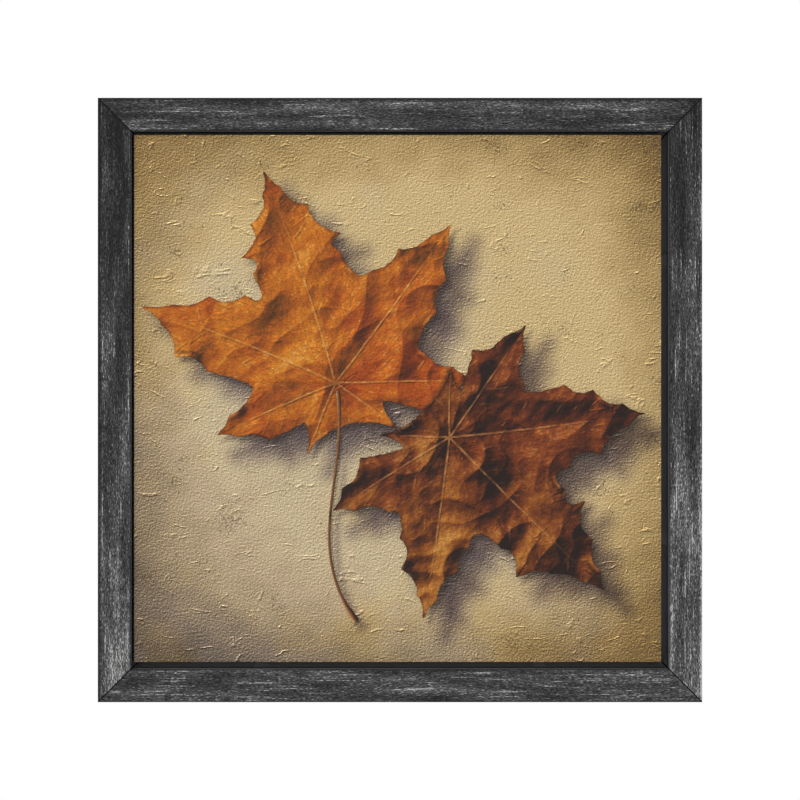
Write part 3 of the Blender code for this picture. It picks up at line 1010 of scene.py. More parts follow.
ORANGE = Palette(
    ("#331507", "#6a2a08", "#8f3b09", "#a7490a", "#b9580d", "#c86a15", "#dd8d3c", "#f2c88a"),
    ("#42240a", "#783f0b", "#9d500d", "#b4620f", "#c57215", "#d28626", "#e4ae54", "#f6d9a0"),
    "#e3a65c", "#eab870", 0.53, 0.62,
)
RUSSET = Palette(
    ("#1c0b04", "#3a1606", "#57240a", "#70310e", "#8b4315", "#ab5f28", "#cd8850", "#e6b585"),
    ("#241006", "#4a220a", "#70380e", "#8e4e15", "#ab6a22", "#c18539", "#d6a55c", "#ebcb92"),
    "#c98c50", "#c88a48", 0.40, 0.80,
)


def curve(a: Array, c: Array, d: Array, b: Array, count: int) -> Array:
    """Gives points along a cubic curve from a towards b, without b itself."""
    t = np.linspace(0, 1, count, endpoint=False)[:, None]
    return (1 - t) ** 3 * a + 3 * (1 - t) ** 2 * t * c + 3 * (1 - t) * t * t * d + t**3 * b


@dataclass
class Patch:
    """One painted shape: a plot with its margin, its colours and its relief in millimetres."""

    name: str
    plot: Plot
    distance: Array
    colour: Array
    relief: Array
    stroke: Array

    def shadow(self, u: Array, v: Array, shift: Sequence[float], low: float, high: float) -> Array:
        """Gives how deep points lie in the shape's shadow, from 0, lit, to 1.

        Args:
            u: Where the shadow falls.
            v: Where the shadow falls.
            shift: How far the shadow is thrown.
            low: Distance from the margin where it is full, negative inside.
            high: Distance where it ends.

        Returns:
            The depth at each point.
        """
        near = self.plot.sample(self.distance, u - shift[0], v - shift[1], outside=60.0)
        return 1 - smoothstep(low, high, near)


@dataclass
class Blade:
    """Where each point of a leaf's plot lies on its nearest lobe, in millimetres."""

    nearest: Array
    along: Array
    side: Array
    length: Array
    number: Array
    gold: Array
    lean: Array

    @property
    def share(self) -> Array:
        """How far along its lobe each point is, from 0 to 1."""
        return self.along / self.length


@dataclass(frozen=True)
class MapleLeaf:
    """A dry maple leaf, grown from the general outline with small seeded differences."""

    name: str
    junction: tuple[float, float]
    axis: float
    size: float
    seed: int
    hues: Palette
    step: float = 0.62
    vein_gap: float = 15.0
    # the size of the folds and their height, then the same for the crinkles and how thin they are
    folds: tuple[tuple[int, float], ...] = ((58, 13.0), (27, 4.5))
    crinkles: tuple[tuple[int, float, float], ...] = ((44, 0.55, 0.022), (19, 0.28, 0.035))

    def lobes(self) -> list[Lobe]:
        """Turns, stretches and bends the general lobes a little.

        Returns:
            The leaf's own lobes, from right to left.
        """
        rng = np.random.default_rng(self.seed)
        return [
            Lobe(
                heading=self.axis + heading + rng.uniform(-4, 4),
                length=self.size * length * rng.uniform(0.93, 1.06),
                width=width * rng.uniform(0.95, 1.08),
                right=right,
                left=left,
                bend=rng.uniform(-0.07, 0.07),
                sinus=sinus * rng.uniform(0.93, 1.07),
                gold=rng.uniform(0.05, 0.95),
                tone=rng.uniform(-0.05, 0.06),
            )
            for heading, length, width, right, left, sinus in GENERAL_MAPLE
        ]

    def outline(self) -> Array:
        """Draws the margin through teeth, notches and sinuses, with a ragged edge.

        Returns:
            Its points, in order.
        """
        rng = np.random.default_rng(self.seed + 1)
        centre = np.array(self.junction)
        lobes = self.lobes()
        marks: list[tuple[str, Array]] = []
        for lobe, after in zip(lobes, lobes[1:] + lobes[:1]):
            for side, margin in ((-1, lobe.right), (1, lobe.left)):
                row = []
                wide = side * lobe.width
                for at, out, notch_at, notch_out in margin.value:
                    slip, swell = rng.uniform(-0.02, 0.02), rng.uniform(0.9, 1.1)
                    row.append(("tooth", lobe.place(centre, at + slip, wide * out * swell)))
                    row.append(("notch", lobe.place(centre, notch_at + slip, wide * notch_out)))
                marks += row if side < 0 else [("tip", lobe.place(centre, 1.0, 0.0))] + row[::-1]
            turn = (after.heading - lobe.heading) % 360
            middle = math.radians(lobe.heading + turn / 2)
            depth = lobe.sinus * (lobe.length + after.length) / 2
            marks.append(("sinus", centre + depth * np.array([math.cos(middle), math.sin(middle)])))
        sharp = [i for i, (kind, _) in enumerate(marks) if kind in ("tooth", "tip")]
        runs = []
        for first, last in zip(sharp, sharp[1:] + [sharp[0] + len(marks)]):
            a, b = marks[first][1], marks[last % len(marks)][1]
            lows = [marks[i % len(marks)] for i in range(first + 1, last)]
            kind, low = lows[-1] if lows else ("notch", (a + b) / 2)
            pull = 0.50 if kind == "sinus" else 0.30
            deep = low + (low - (a + b) / 2) * 0.22
            count = max(8, int((np.linalg.norm(a - low) + np.linalg.norm(b - low)) / 1.3))
            runs.append(curve(a, deep + (a - deep) * pull, deep + (b - deep) * pull, b, count))
        line = np.concatenate(runs)
        out = np.roll(line, -1, 0) - np.roll(line, 1, 0)
        out = np.stack([out[:, 1], -out[:, 0]], 1)
        out /= np.linalg.norm(out, axis=1)[:, None] + 1e-9
        rag = 1.2 * clouds(*line.T, 13.0, 2, self.seed + 5)
        rag += 0.9 * clouds(*line.T, 4.5, 3, self.seed + 9)
        return line + out * rag[:, None]

    def spread(self, u: Array, v: Array) -> Blade:
        """Shares a plot out among the lobes.

        Args:
            u: The plot's points.
            v: The plot's points.

        Returns:
            Where each point lies.
        """
        blade = Blade(*(np.full(u.shape, start) for start in (1e9, 0.0, 0.0, 1.0, 0.0, 1e-9, 1e-9)))
        weight = np.full(u.shape, 1e-9)
        for number, lobe in enumerate(self.lobes()):
            angle = math.radians(lobe.heading)
            du, dv = u - self.junction[0], v - self.junction[1]
            t = (du * math.cos(angle) + dv * math.sin(angle)) / lobe.length
            s = dv * math.cos(angle) - du * math.sin(angle)
            s = s - lobe.bend * lobe.length * np.clip(t, 0, 1.2) ** 2
            gap = np.hypot(s, lobe.length * (np.minimum(t, 0) + np.maximum(t - 1, 0)))
            share = np.exp(-gap / 11.0)
            weight += share
            blade.gold += share * lobe.gold
            blade.lean += share * lobe.tone
            here = gap < blade.nearest
            for name, value in (
                ("nearest", gap),
                ("along", t * lobe.length),
                ("side", s),
                ("length", lobe.length),
                ("number", number),
            ):
                setattr(blade, name, np.where(here, value, getattr(blade, name)))
        blade.gold, blade.lean = blade.gold / weight, blade.lean / weight
        return blade

    def ribs(self, plot: Plot, blade: Blade) -> tuple[Array, Array, Array]:
        """Lays out the side veins, which leave the midrib at about 45 degrees, unevenly spaced.

        Args:
            plot: The leaf's plot.
            blade: Where its points lie.

        Returns:
            The turn from one vein to the next, 0 on a vein, each vein's strength, and how much of
            it is left at this distance from the midrib.
        """
        phase = blade.along - np.abs(blade.side) * 0.85
        phase += 5.0 * clouds(plot.u, plot.v, 34, 2, self.seed * 1000 + 1)
        phase = phase / self.vein_gap + 0.35 * (blade.side > 0) + blade.number * 0.3
        cell = np.floor(phase)
        strength = 0.5 + 0.5 * np.sin(cell * 12.9 + blade.number * 4.1 + (blade.side > 0) * 2.3)
        return phase - cell - 0.5, strength, 1 - smoothstep(14, 30, blade.nearest)

    def veins(self, plot: Plot, blade: Blade, ribs: tuple[Array, Array, Array]) -> Array:
        """Drags the veins on with a drying brush.

        Args:
            plot: The leaf's plot.
            blade: Where its points lie.
            ribs: What ribs() gives.

        Returns:
            How much vein colour each point has, from 0 to 1.
        """
        seed, (turn, strength, fading) = self.seed * 1000, ribs
        dry = smoothstep(-0.30, 0.25, clouds(blade.along, blade.side * 4, 10, 3, seed + 10))
        wide = 0.20 + 0.66 * (1 - 0.65 * np.clip(blade.share, 0, 1))
        main = (1 - smoothstep(wide * 0.5, wide * 1.3, blade.nearest)) * (0.35 + 0.65 * dry)
        main *= 1 - smoothstep(0.50, 0.92, blade.share)
        fine = (1 - smoothstep(0.25, 0.9, np.abs(turn) * 11.4)) * smoothstep(1, 4, blade.nearest)
        fine *= fading * smoothstep(6, 16, blade.along) * (0.3 + 0.7 * strength)
        fine *= smoothstep(0.0, 0.45, clouds(plot.u, plot.v, 12, 2, seed + 11))
        return np.clip(main * 0.72 + fine * 0.46, 0, 1)

    def buckle(self, plot: Plot, blade: Blade, ribs: tuple[Array, Array, Array]) -> Array:
        """Buckles the dry blade: arched between its veins, folded and crinkled.

        Args:
            plot: The leaf's plot.
            blade: Where its points lie.
            ribs: What ribs() gives.

        Returns:
            The height of each point, in millimetres.
        """
        u, v, seed, (turn, strength, fading) = plot.u, plot.v, self.seed * 1000, ribs
        height = 3.0 * (1 - np.exp(-((blade.nearest / 10.0) ** 1.3)))
        sunk = 0.26 * strength * np.cos(turn * math.tau)
        height -= sunk * smoothstep(2, 8, blade.nearest) * fading
        height += 6.0 * clouds(u, v, 62, 2, seed + 2) + 2.0 * clouds(u, v, 24, 2, seed + 3)
        # each fold is a sharp ridge between two nearly flat planes
        for size, high in self.folds:
            height -= high * np.abs(clouds(u, v, size, 1, seed + 40 + size))
        height += 0.7 * clouds(u, v, 8, 3, seed + 4)
        # crinkles are thin raised lines that wander over the dry blade
        for size, high, thin in self.crinkles:
            wander = clouds(u, v, size, 3, seed + 20 + size)
            here = smoothstep(0.05, 0.5, clouds(u, v, 30, 2, seed + size))
            height += high * bell(wander, thin) * here
        return height

    def paint(self) -> Patch:
        """Paints the leaf: a buckled blade lit from the upper left, its veins and its margin.

        Returns:
            The leaf as a patch.
        """
        line = self.outline()
        plot = Plot(line.min(0) - 12, line.max(0) + 12, self.step)
        distance, arc = plot.distance_to(line, 45.0)
        u, v, rim, seed, hues = plot.u, plot.v, -distance, self.seed * 1000, self.hues
        blade = self.spread(u, v)
        along, side = blade.along, blade.side
        ribs = self.ribs(plot, blade)
        height = self.buckle(plot, blade, ribs)
        curl = smoothstep(0.05, 0.55, clouds(arc, arc * 0 + 3.7, 46.0, 2, seed + 5))
        height += curl * 4.2 * bell(rim, 6.0) - (1 - curl) * 1.4 * bell(rim, 5.0)
        slope_v, slope_u = np.gradient(height, plot.step)
        upright = 1 / np.sqrt(1 + slope_u**2 + slope_v**2)
        light = LIGHT / np.linalg.norm(LIGHT)
        shade = (-slope_u * light[0] - slope_v * light[1] + light[2]) * upright - light[2]
        gold = blade.gold + 0.5 * clouds(u, v, 48, 3, seed + 6)
        gold += 0.2 * clouds(u, v, 14, 3, seed + 7)
        tone = hues.base + 1.4 * blade.lean + hues.contrast * shade
        tone += 0.07 * clouds(u, v, 20, 3, seed + 8)
        tone -= 0.10 * smoothstep(0.62, 1.0, blade.share)
        tone -= 0.12 * bell(rim, 2.2) * smoothstep(-0.2, 0.5, clouds(u, v, 16, 2, seed + 9))
        red, ochre = ramp(tone, hues.stops, hues.red), ramp(tone, hues.stops, hues.gold)
        colour = blend(red, ochre, smoothstep(0.30, 0.92, gold))
        # each vein has a shadow at its lower right
        veins = self.veins(plot, blade, ribs)
        colour = blend(colour, srgb(hues.vein), veins)
        behind = plot.sample(veins, u - 0.8, v + 0.8)
        colour = colour * (1 - 0.72 * np.clip(behind - veins, 0, 1))[..., None]
        # curled margins catch the light and shade the blade behind, flat ones look scorched
        lit = 0.65 * bell(rim - 0.9, 0.8) * curl
        lit *= smoothstep(-0.1, 0.3, clouds(arc, arc * 0, 9, 2, seed + 12))
        colour = blend(colour, srgb(hues.rim), lit)
        dark = 0.42 * bell(rim - 3.6, 1.3) * curl
        scorch = 0.4 + 0.6 * smoothstep(-0.3, 0.3, clouds(arc, arc * 0, 11, 2, seed + 15))
        dark += 0.34 * bell(rim, 0.8) * (1 - curl) * scorch
        colour = colour * (1 - dark)[..., None]
        bristles = 0.20 * clouds(along, side * 3.0, 6.0, 3, seed + 14)
        bristles += 0.12 * clouds(u, v * 1.7, 2.2, 2, seed + 13)
        # touches of nearly dry light paint, dragged along the blade where it turns to the light
        touch = smoothstep(0.30, 0.62, clouds(along, side * 2.6, 7.5, 3, seed + 16) + 1.1 * shade)
        touch = 0.42 * touch * smoothstep(-0.2, 0.2, clouds(u, v, 1.8, 2, seed + 17))
        colour = np.clip(blend(colour, srgb(hues.rim), touch) * (1 + bristles)[..., None], 0, 1)
        relief = np.clip(0.03 * height + 0.30 * veins, -0.12, 0.2) * smoothstep(0.3, 2.5, rim)
        return Patch(self.name, plot, distance, colour, relief, np.stack([along, side], -1) * MM)


@dataclass(frozen=True)
class Petiole:
    """The leaf's stalk: thin, gently curved, and thicker where it left the twig."""

    name: str
    places: tuple[tuple[float, float], ...]
    seed: int
    length: float = 190.0
    browns: tuple[str, ...] = ("#2b1305", "#553013", "#7d522c", "#996a40", "#c09a68")

    def paint(self) -> Patch:
        """Paints the stalk, lit along its left side.

        Returns:
            The stalk as a patch.
        """
        a, c, d, b = (np.array(place, dtype=float) for place in self.places)
        line = np.vstack([curve(a, c, d, b, 90), b])
        share = np.linspace(0, 1, len(line))
        half = 1.5 - 0.5 * smoothstep(0, 0.3, share) + 1.7 * smoothstep(0.88, 1.0, share)
        way = np.gradient(line, axis=0)
        way /= np.linalg.norm(way, axis=1)[:, None]
        left = np.stack([-way[:, 1], way[:, 0]], 1) * half[:, None]
        plot = Plot(line.min(0) - 8, line.max(0) + 8, 0.4)
        distance, _ = plot.distance_to(np.vstack([line - left, (line + left)[::-1]]), 20.0)
        best = np.full(plot.u.shape, 1e9)
        along, side = np.zeros(plot.u.shape), np.zeros(plot.u.shape)
        for place, over, at in zip(line, left / half[:, None], share):
            du, dv = plot.u - place[0], plot.v - place[1]
            gap = du * du + dv * dv
            here = gap < best
            best = np.where(here, gap, best)
            along = np.where(here, at * self.length, along)
            side = np.where(here, du * over[0] + dv * over[1], side)
        # the stalk runs down, so its own left is the viewer's right
        light = np.clip(0.5 - 0.32 * side, 0, 1) + 0.16 * clouds(along, side * 5, 9, 3, self.seed)
        colour = ramp(light, (0, 0.3, 0.6, 0.85, 1), self.browns)
        relief = 0.10 * smoothstep(0.0, 1.2, -distance)
        return Patch(self.name, plot, distance, colour, relief, np.stack([along, side], -1) * MM)


# ------------------------------------------------------------------ the painting


@dataclass
class Painting:
    """Two autumn leaves on a plastered ground, in coats on the front of the canvas."""

    middle: tuple[float, float]
    front: float
    half: float
    ground_step: float = 1.45
    far_shift: tuple[float, float] = (17.0, -15.0)
    near_shift: tuple[float, float] = (4.5, -4.5)
    stops: tuple[float, ...] = (0.35, 0.55, 0.75, 0.9, 1.0)
    parchment: tuple[str, ...] = ("#6b5531", "#8a6f43", "#ab905e", "#c0a572", "#cbb17e")
    greyed: tuple[str, ...] = ("#5f544b", "#81715f", "#a48f70", "#baa484", "#c6b38f")
    violet: str = "#77708a"
    umber: str = "#2c2422"
    ridge: float = 0.10 * MM
    edge_drop: float = 0.12 * MM
    proud_mm: tuple[float, float, float] = (0.16, 0.22, 0.42)
    leaves: list[Patch] = field(default_factory=list)

    def compose(self) -> None:
        """Paints the leaves and the stalk, the upper leaf's shadow falling on the lower one."""
        orange = MapleLeaf("painted_leaf_orange", (-48.0, 12.0), 104.0, 172.0, 23, ORANGE).paint()
        russet = MapleLeaf("painted_leaf_russet", (40.0, -30.0), -46.0, 166.0, 31, RUSSET).paint()
        bends = ((-46.0, 6.0), (-38.0, -64.0), (-74.0, -112.0), (-32.0, -172.0))
        stalk = Petiole("painted_stalk", bends, 77).paint()
        for lower in (stalk, orange):
            shade = 0.75 * russet.shadow(lower.plot.u, lower.plot.v, (-1.0, -2.0), -2.0, 5.0)
            lower.colour = blend(lower.colour, srgb("#1d0f07"), shade)
        self.leaves = [stalk, orange, russet]

    def ground(self, u: Array, v: Array) -> Array:
        """Tints the plaster: parchment in the middle, umber at the corners, greyer low at the left.

        Args:
            u: Points across the canvas.
            v: Points up the canvas.

        Returns:
            sRGB colours, with the cast shadows in them.
        """
        right, up = u / self.half, v / self.half
        out = np.hypot(u * 0.95 - 8, v - 12) / self.half
        edge = np.maximum(np.abs(u), np.abs(v)) / self.half
        light = 1.06 - 0.50 * smoothstep(0.58, 1.5, out)
        light -= 0.13 * smoothstep(0.70, 1.0, edge + 0.10 * clouds(u, v, 45, 3, 511))
        light += 0.075 * up * (0.35 - 0.65 * right)
        light += 0.09 * clouds(u, v, 120, 3, 500) + 0.11 * clouds(u, v * 1.3, 24, 4, 505)
        reach = np.hypot(right + 0.55, up + 0.6)
        grey = smoothstep(-0.5, 0.6, 0.9 - 0.9 * reach + 0.9 * clouds(u, v, 70, 4, 502))
        warm, cool = (ramp(light, self.stops, codes) for codes in (self.parchment, self.greyed))
        colour = blend(warm, cool, grey)
        far, near = np.zeros(u.shape), np.zeros(u.shape)
        for patch in self.leaves:
            thin = 0.35 if patch.name == "painted_stalk" else 1.0
            shift = [part * thin for part in self.far_shift]
            soft = patch.shadow(u, v, shift, -12 * thin, 14 * thin)
            far = np.maximum(far, (0.45 + 0.55 * thin) * soft)
            shift = [part * thin for part in self.near_shift]
            near = np.maximum(near, patch.shadow(u, v, shift, -5 * thin, 3.0 * thin))
        far *= 0.95 + 0.28 * clouds(u, v, 18, 3, 506)
        colour = blend(colour, colour * srgb(self.violet), np.clip(far, 0, 1))
        return np.clip(blend(colour, srgb(self.umber), 0.62 * near), 0, 1)

    def at(self, piece: Piece) -> tuple[Array, Array]:
        """Gives the canvas coordinates of an object's vertices."""
        points = points_of(piece)
        return (points[:, 0] - self.middle[0]) / MM, (points[:, 2] - self.middle[1]) / MM

    def grid(self, name: str, low: Sequence[float], high: Sequence[float], step: float) -> Piece:
        """Adds an even grid facing the viewer.

        Args:
            name: The object's name.
            low: Its lowest u and v.
            high: Its highest u and v.
            step: The distance between its points.

        Returns:
            The grid.
        """
        deselect()
        wide, tall = (b - a for a, b in zip(low, high))
        u, v = ((a + b) / 2 for a, b in zip(low, high))
        cells = {"x_subdivisions": round(wide / step), "y_subdivisions": round(tall / step)}
        bpy.ops.mesh.primitive_grid_add(size=1, **cells)
        piece = bpy.context.object
        piece.scale = (wide * MM, tall * MM, 1)
        piece.rotation_euler = (math.pi / 2, 0, 0)
        piece.location = (self.middle[0] + u * MM, self.front, self.middle[1] + v * MM)
        return settle(piece, name)

    def close_back(self, piece: Piece, back: float) -> None:
        """Extrudes a coat's border into the coat below and closes it behind.

        Args:
            piece: The coat.
            back: How far its border goes back.
        """
        edit(piece, "EDGE", border_edges(piece))
        bpy.ops.mesh.extrude_edges_move(TRANSFORM_OT_translate={"value": (0, back, 0)})
        bpy.ops.mesh.edge_face_add()
        bpy.ops.object.mode_set(mode="OBJECT")
        if border_edges(piece).any():
            LOG.warning("%s is still open behind", piece.name)

    def build_ground(self) -> Piece:
        """Lays the plaster over the whole front of the canvas.

        Returns:
            The plaster coat, closed behind.
        """
        reach = self.half - 0.15
        piece = self.grid("plaster_ground", (-reach, -reach), (reach, reach), self.ground_step)
        u, v = self.at(piece)
        points = points_of(piece)
        ridges = clouds(u, v * 1.5, 7.0, 3, 503)
        away = np.minimum(reach - np.abs(u), reach - np.abs(v))
        points[:, 1] = self.front - self.ridge * ridges * smoothstep(0, 3, away)
        points[:, 1] += self.edge_drop * (1 - smoothstep(0, 1.2, away))
        move_points(piece, points)
        store(piece, "paint", to_linear(self.ground(u, v)))
        self.close_back(piece, 0.30 * MM)
        finish_with(piece, TrowelledPlaster("tinted_plaster_trowelled").build(), 60)
        return piece

    def build_patch(self, patch: Patch, proud_mm: float) -> Piece:
        """Lays one painted shape on the plaster.

        Args:
            patch: The shape.
            proud_mm: How far its surface stands in front of the plaster's.

        Returns:
            The coat of paint, closed behind.
        """
        plot = patch.plot
        low, high = (plot.across[0], plot.up[0]), (plot.across[-1], plot.up[-1])
        piece = self.grid(patch.name, low, high, plot.step)
        u, v = self.at(piece)
        store(piece, "paint", to_linear(plot.sample(patch.colour, u, v)))
        corners = read(piece.data.loops, "vertex_index")
        store_uv(piece, "stroke", plot.sample(patch.stroke, u, v)[corners])
        middles = corners.reshape(-1, 4)
        centre_u, centre_v = u[middles].mean(1), v[middles].mean(1)
        keep = plot.sample(patch.distance, centre_u, centre_v) < 0
        edit(piece, "FACE", ~one_island(keep, centre_u, centre_v, plot.step))
        bpy.ops.mesh.delete(type="FACE")
        bpy.ops.object.mode_set(mode="OBJECT")
        u, v = self.at(piece)
        points = points_of(piece)
        # the steps along the margin are drawn onto the outline
        rim = np.unique(edge_ends(piece)[border_edges(piece)])
        slope_v, slope_u = np.gradient(patch.distance, plot.step)
        gap = plot.sample(patch.distance, u[rim], v[rim])
        gap = np.clip(gap, -0.7 * plot.step, 0.7 * plot.step)
        points[rim, 0] -= gap * plot.sample(slope_u, u[rim], v[rim]) * MM
        points[rim, 2] -= gap * plot.sample(slope_v, u[rim], v[rim]) * MM
        points[:, 1] = self.front - (proud_mm + plot.sample(patch.relief, u, v)) * MM
        move_points(piece, points)
        self.close_back(piece, (proud_mm + 0.15) * MM)
        clean(piece)
        finish_with(piece, BrushedOilPaint("oil_paint_brushed").build(), 50)
        return piece

    def build(self) -> None:
        """Makes the coats, from the ground up, each a little prouder than the one below."""
        self.compose()
        coats = [self.build_ground()]
        for patch, proud_mm in zip(self.leaves, self.proud_mm):
            coats.append(self.build_patch(patch, proud_mm))
        for coat in coats:
            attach(coat, "root")


def one_island(keep: Array, u: Array, v: Array, step: float) -> Array:
    """Keeps the faces of a grid that hang together by their edges.

    Args:
        keep: Which faces are wanted.
        u: The faces' middles.
        v: The faces' middles.
        step: The grid's step.

    Returns:
        The wanted faces of the largest part, without corners that only touch.
    """
    column = np.rint((u - u.min()) / step).astype(int)
    row = np.rint((v - v.min()) / step).astype(int)
    cells = np.zeros((row.max() + 3, column.max() + 3), dtype=bool)
    cells[row + 1, column + 1] = keep
    for _ in range(4):
        a, b, c, d = cells[:-1, :-1], cells[:-1, 1:], cells[1:, :-1], cells[1:, 1:]
        touch = (a & d & ~b & ~c) | (b & c & ~a & ~d)
        if not touch.any():
            break
        for part in (a, b, c, d):
            part |= touch
    off_middle = (row - np.median(row[keep])) ** 2 + (column - np.median(column[keep])) ** 2
    start = np.argmin(off_middle + 1e9 * ~keep)
    found = np.zeros_like(cells)
    found[row[start] + 1, column[start] + 1] = True
    count = 0
    while count != found.sum():
        count = found.sum()
        for _ in range(40):
            grown = found.copy()
            grown[1:] |= found[:-1]
            grown[:-1] |= found[1:]
            grown[:, 1:] |= found[:, :-1]
            grown[:, :-1] |= found[:, 1:]
            found = grown & cells
    return found[row + 1, column + 1]


# ------------------------------------------------------------------ frame, cloth and fixings


class Side(Enum):
    """The four sides: quarter turns from the bottom, painted light on the face (below 0, painted
    shade), and painted light on the outer arris.
    """

    # label, quarter turns, painted light on the face (below 0, painted shade), painted light on the
    # outer arris
    BOTTOM = ("bottom", 0, -0.005, 0.4)
    RIGHT = ("right", 1, 0.01, 1.0)
    TOP = ("top", 2, -0.01, 0.0)
    LEFT = ("left", 3, -0.022, 0.0)

    def __init__(self, label: str, quarters: int, paleness: float, arris_light: float) -> None:
        """Gives the parts of the value their names."""
        self.label, self.quarters, self.paleness, self.arris_light = label, quarters, paleness, arris_light


@dataclass
class FloaterFrame:
    """Four L-shaped rails, mitred, with the open grain of brushed barn wood."""

    half: float
    middle: float
    front: float
    back: float
    boxes: dict[str, tuple]
    nodes: dict[str, Piece]
    face: float = 25.4 * MM
    foot_thickness: float = 8.0 * MM
    foot_reach: float = 22.0 * MM
    arris: float = 0.8 * MM
    relief: float = 0.13 * MM
    screw_head: float = 4.2 * MM
    screw_hole: float = 2.1 * MM
    sink_depth: float = 2.4 * MM
    hole_depth: float = 20 * MM
    hole_sides: int = 37
    nail_play: float = 0.06 * MM
    cuts_along: int = 70
    cuts_over: int = 44
    cuts_back: int = 22

    def shape(self, side: Side) -> Piece:
        """Models one rail as the bottom one: leg, foot, mitres and rounded front edges.

        Args:
            side: Where it goes.

        Returns:
            The rail.
        """
        low, high = -self.half, -self.half + self.face
        foot = self.back - self.foot_thickness
        deselect()
        middle = (0, (self.front + self.back) / 2, (low + high) / 2)
        size = (2 * self.half, self.back - self.front, high - low)
        bpy.ops.mesh.primitive_cube_add(size=1, location=middle, scale=size)
        rail = settle(bpy.context.object, f"rail_{side.label}")
        edit(rail, "FACE")
        bpy.ops.mesh.select_all(action="SELECT")
        bpy.ops.mesh.bisect(plane_co=(0, foot, 0), plane_no=(0, 1, 0))
        bpy.ops.object.mode_set(mode="OBJECT")
        faces = rail.data.polygons
        upward = read(faces, "normal", 3, float)[:, 2] > 0.9
        edit(rail, "FACE", upward & (read(faces, "center", 3, float)[:, 1] > foot))
        bpy.ops.mesh.extrude_region_move(TRANSFORM_OT_translate={"value": (0, 0, self.foot_reach)})
        for way in (-1, 1):
            bpy.ops.mesh.select_all(action="SELECT")
            mitre = {"plane_co": (way * self.half, 0, low), "plane_no": (way, 0, 1)}
            bpy.ops.mesh.bisect(**mitre, use_fill=True, clear_outer=True)
        bpy.ops.object.mode_set(mode="OBJECT")
        a, b = np.swapaxes(points_of(rail)[edge_ends(rail)], 0, 1)
        level = self.front + 1e-5
        lengthways = np.abs(a[:, 0] - b[:, 0]) > 0.2
        edit(rail, "EDGE", lengthways & (a[:, 1] < level) & (b[:, 1] < level))
        bpy.ops.mesh.bevel(offset=self.arris, segments=3, profile=0.5)
        bpy.ops.object.mode_set(mode="OBJECT")
        return rail

    def refine(self, rail: Piece) -> None:
        """Divides the shown faces finely and presses the grain into them.

        Args:
            rail: The rail, lying as the bottom one.
        """
        low, high = -self.half, -self.half + self.face
        level = self.front + 1e-5
        for kind, cuts in (
            ("lengthways", self.cuts_along),
            ("over the face", self.cuts_over),
            ("down the outer side", self.cuts_back),
            ("up the wall", self.cuts_back),
        ):
            a, b = np.swapaxes(points_of(rail)[edge_ends(rail)], 0, 1)
            runs = np.abs(a - b)
            if kind == "lengthways":
                chosen = runs[:, 0] > 0.2
            elif kind == "over the face":
                chosen = (a[:, 1] < level) & (b[:, 1] < level) & (runs[:, 2] > 0.01)
            else:
                plane = low if kind == "down the outer side" else high
                flat = np.abs([a[:, 2] - plane, b[:, 2] - plane]).max(0) < 1e-5
                chosen = flat & (runs[:, 1] > 0.01)
            edit(rail, "EDGE", chosen)
            bpy.ops.mesh.subdivide(number_cuts=cuts)
            bpy.ops.object.mode_set(mode="OBJECT")
        points = points_of(rail)
        x, y, z = points.T
        grain = clouds(x / MM / 14, (z + y) / MM, 1.1, 2, 900)
        grain += 0.7 * clouds(x / MM / 30, (z + y) / MM, 4.0, 2, 901)
        off_mitre = smoothstep(0, 2 * MM, self.half - np.abs(x) - (z - low))
        press = self.relief * np.clip(0.5 + grain, 0, 1) * off_mitre
        shown = (y < level) & (z > low + self.arris) & (z < high - self.arris)
        points[:, 1] += np.where(shown, press, 0)
        points[:, 2] += np.where(np.abs(z - low) < 1e-6, press, 0) * (y > self.front + self.arris)
        move_points(rail, points)

    def drill(self, rail: Piece, side: Side) -> None:
        """Cuts the countersunk screw holes where the screws of this side are.

        Args:
            rail: The rail, lying as the bottom one.
            side: Where it goes.
        """
        turn = Matrix.Rotation(side.quarters * math.pi / 2, 4, "Y")
        for name, (low, high) in self.boxes.items():
            if not name.startswith(f"mounting_screw_{side.label}"):
                continue
            screw = Vector(((low[0] + high[0]) / 2, 0, (low[2] + high[2]) / 2 - self.middle))
            x, _, z = turn @ screw
            placed = {"vertices": self.hole_sides, "rotation": (math.pi / 2, 0, 0)}
            deselect()
            bpy.ops.mesh.primitive_cone_add(
                radius1=self.screw_head,
                radius2=self.screw_hole,
                depth=self.sink_depth,
                location=(x, self.back - 1.1 * MM, z),
                **placed,
            )
            sink = settle(bpy.context.object, "sink")
            deselect()
            bpy.ops.mesh.primitive_cylinder_add(
                radius=self.screw_hole,
                depth=self.hole_depth,
                location=(x, self.back - 6 * MM, z),
                **placed,
            )
            hole = settle(bpy.context.object, "hole")
            cut_with(rail, sink)
            cut_with(rail, hole)

    def slot_nails(self, rail: Piece, side: Side) -> None:
        """Cuts this rail's half of the slot of each corner nail at its two ends.

        Args:
            rail: The rail, lying as the bottom one.
            side: Where it goes.
        """
        for name, node in self.nodes.items():
            if not name.startswith("frame_v_nail") or side.label not in name:
                continue
            cutter = bpy.data.objects.new("slot", node.data.copy())
            bpy.context.scene.collection.objects.link(cutter)
            cutter.data.transform(self.turn(side).inverted())
            edit(cutter)
            bpy.ops.mesh.select_all(action="SELECT")
            bpy.ops.mesh.remove_doubles(threshold=1e-6)
            bpy.ops.transform.shrink_fatten(value=self.nail_play)
            bpy.ops.object.mode_set(mode="OBJECT")
            # the slot runs out through the back
            points = points_of(cutter)
            points[:, 1] += np.where(points[:, 1] > points[:, 1].max() - 0.5 * MM, 1.5 * MM, 0)
            move_points(cutter, points)
            cut_with(rail, cutter)

    def turn(self, side: Side) -> Matrix:
        """Gives the turn and shift that bring the bottom rail to a side."""
        turned = Matrix.Rotation(-side.quarters * math.pi / 2, 4, "Y")
        return Matrix.Translation((0, 0, self.middle)) @ turned

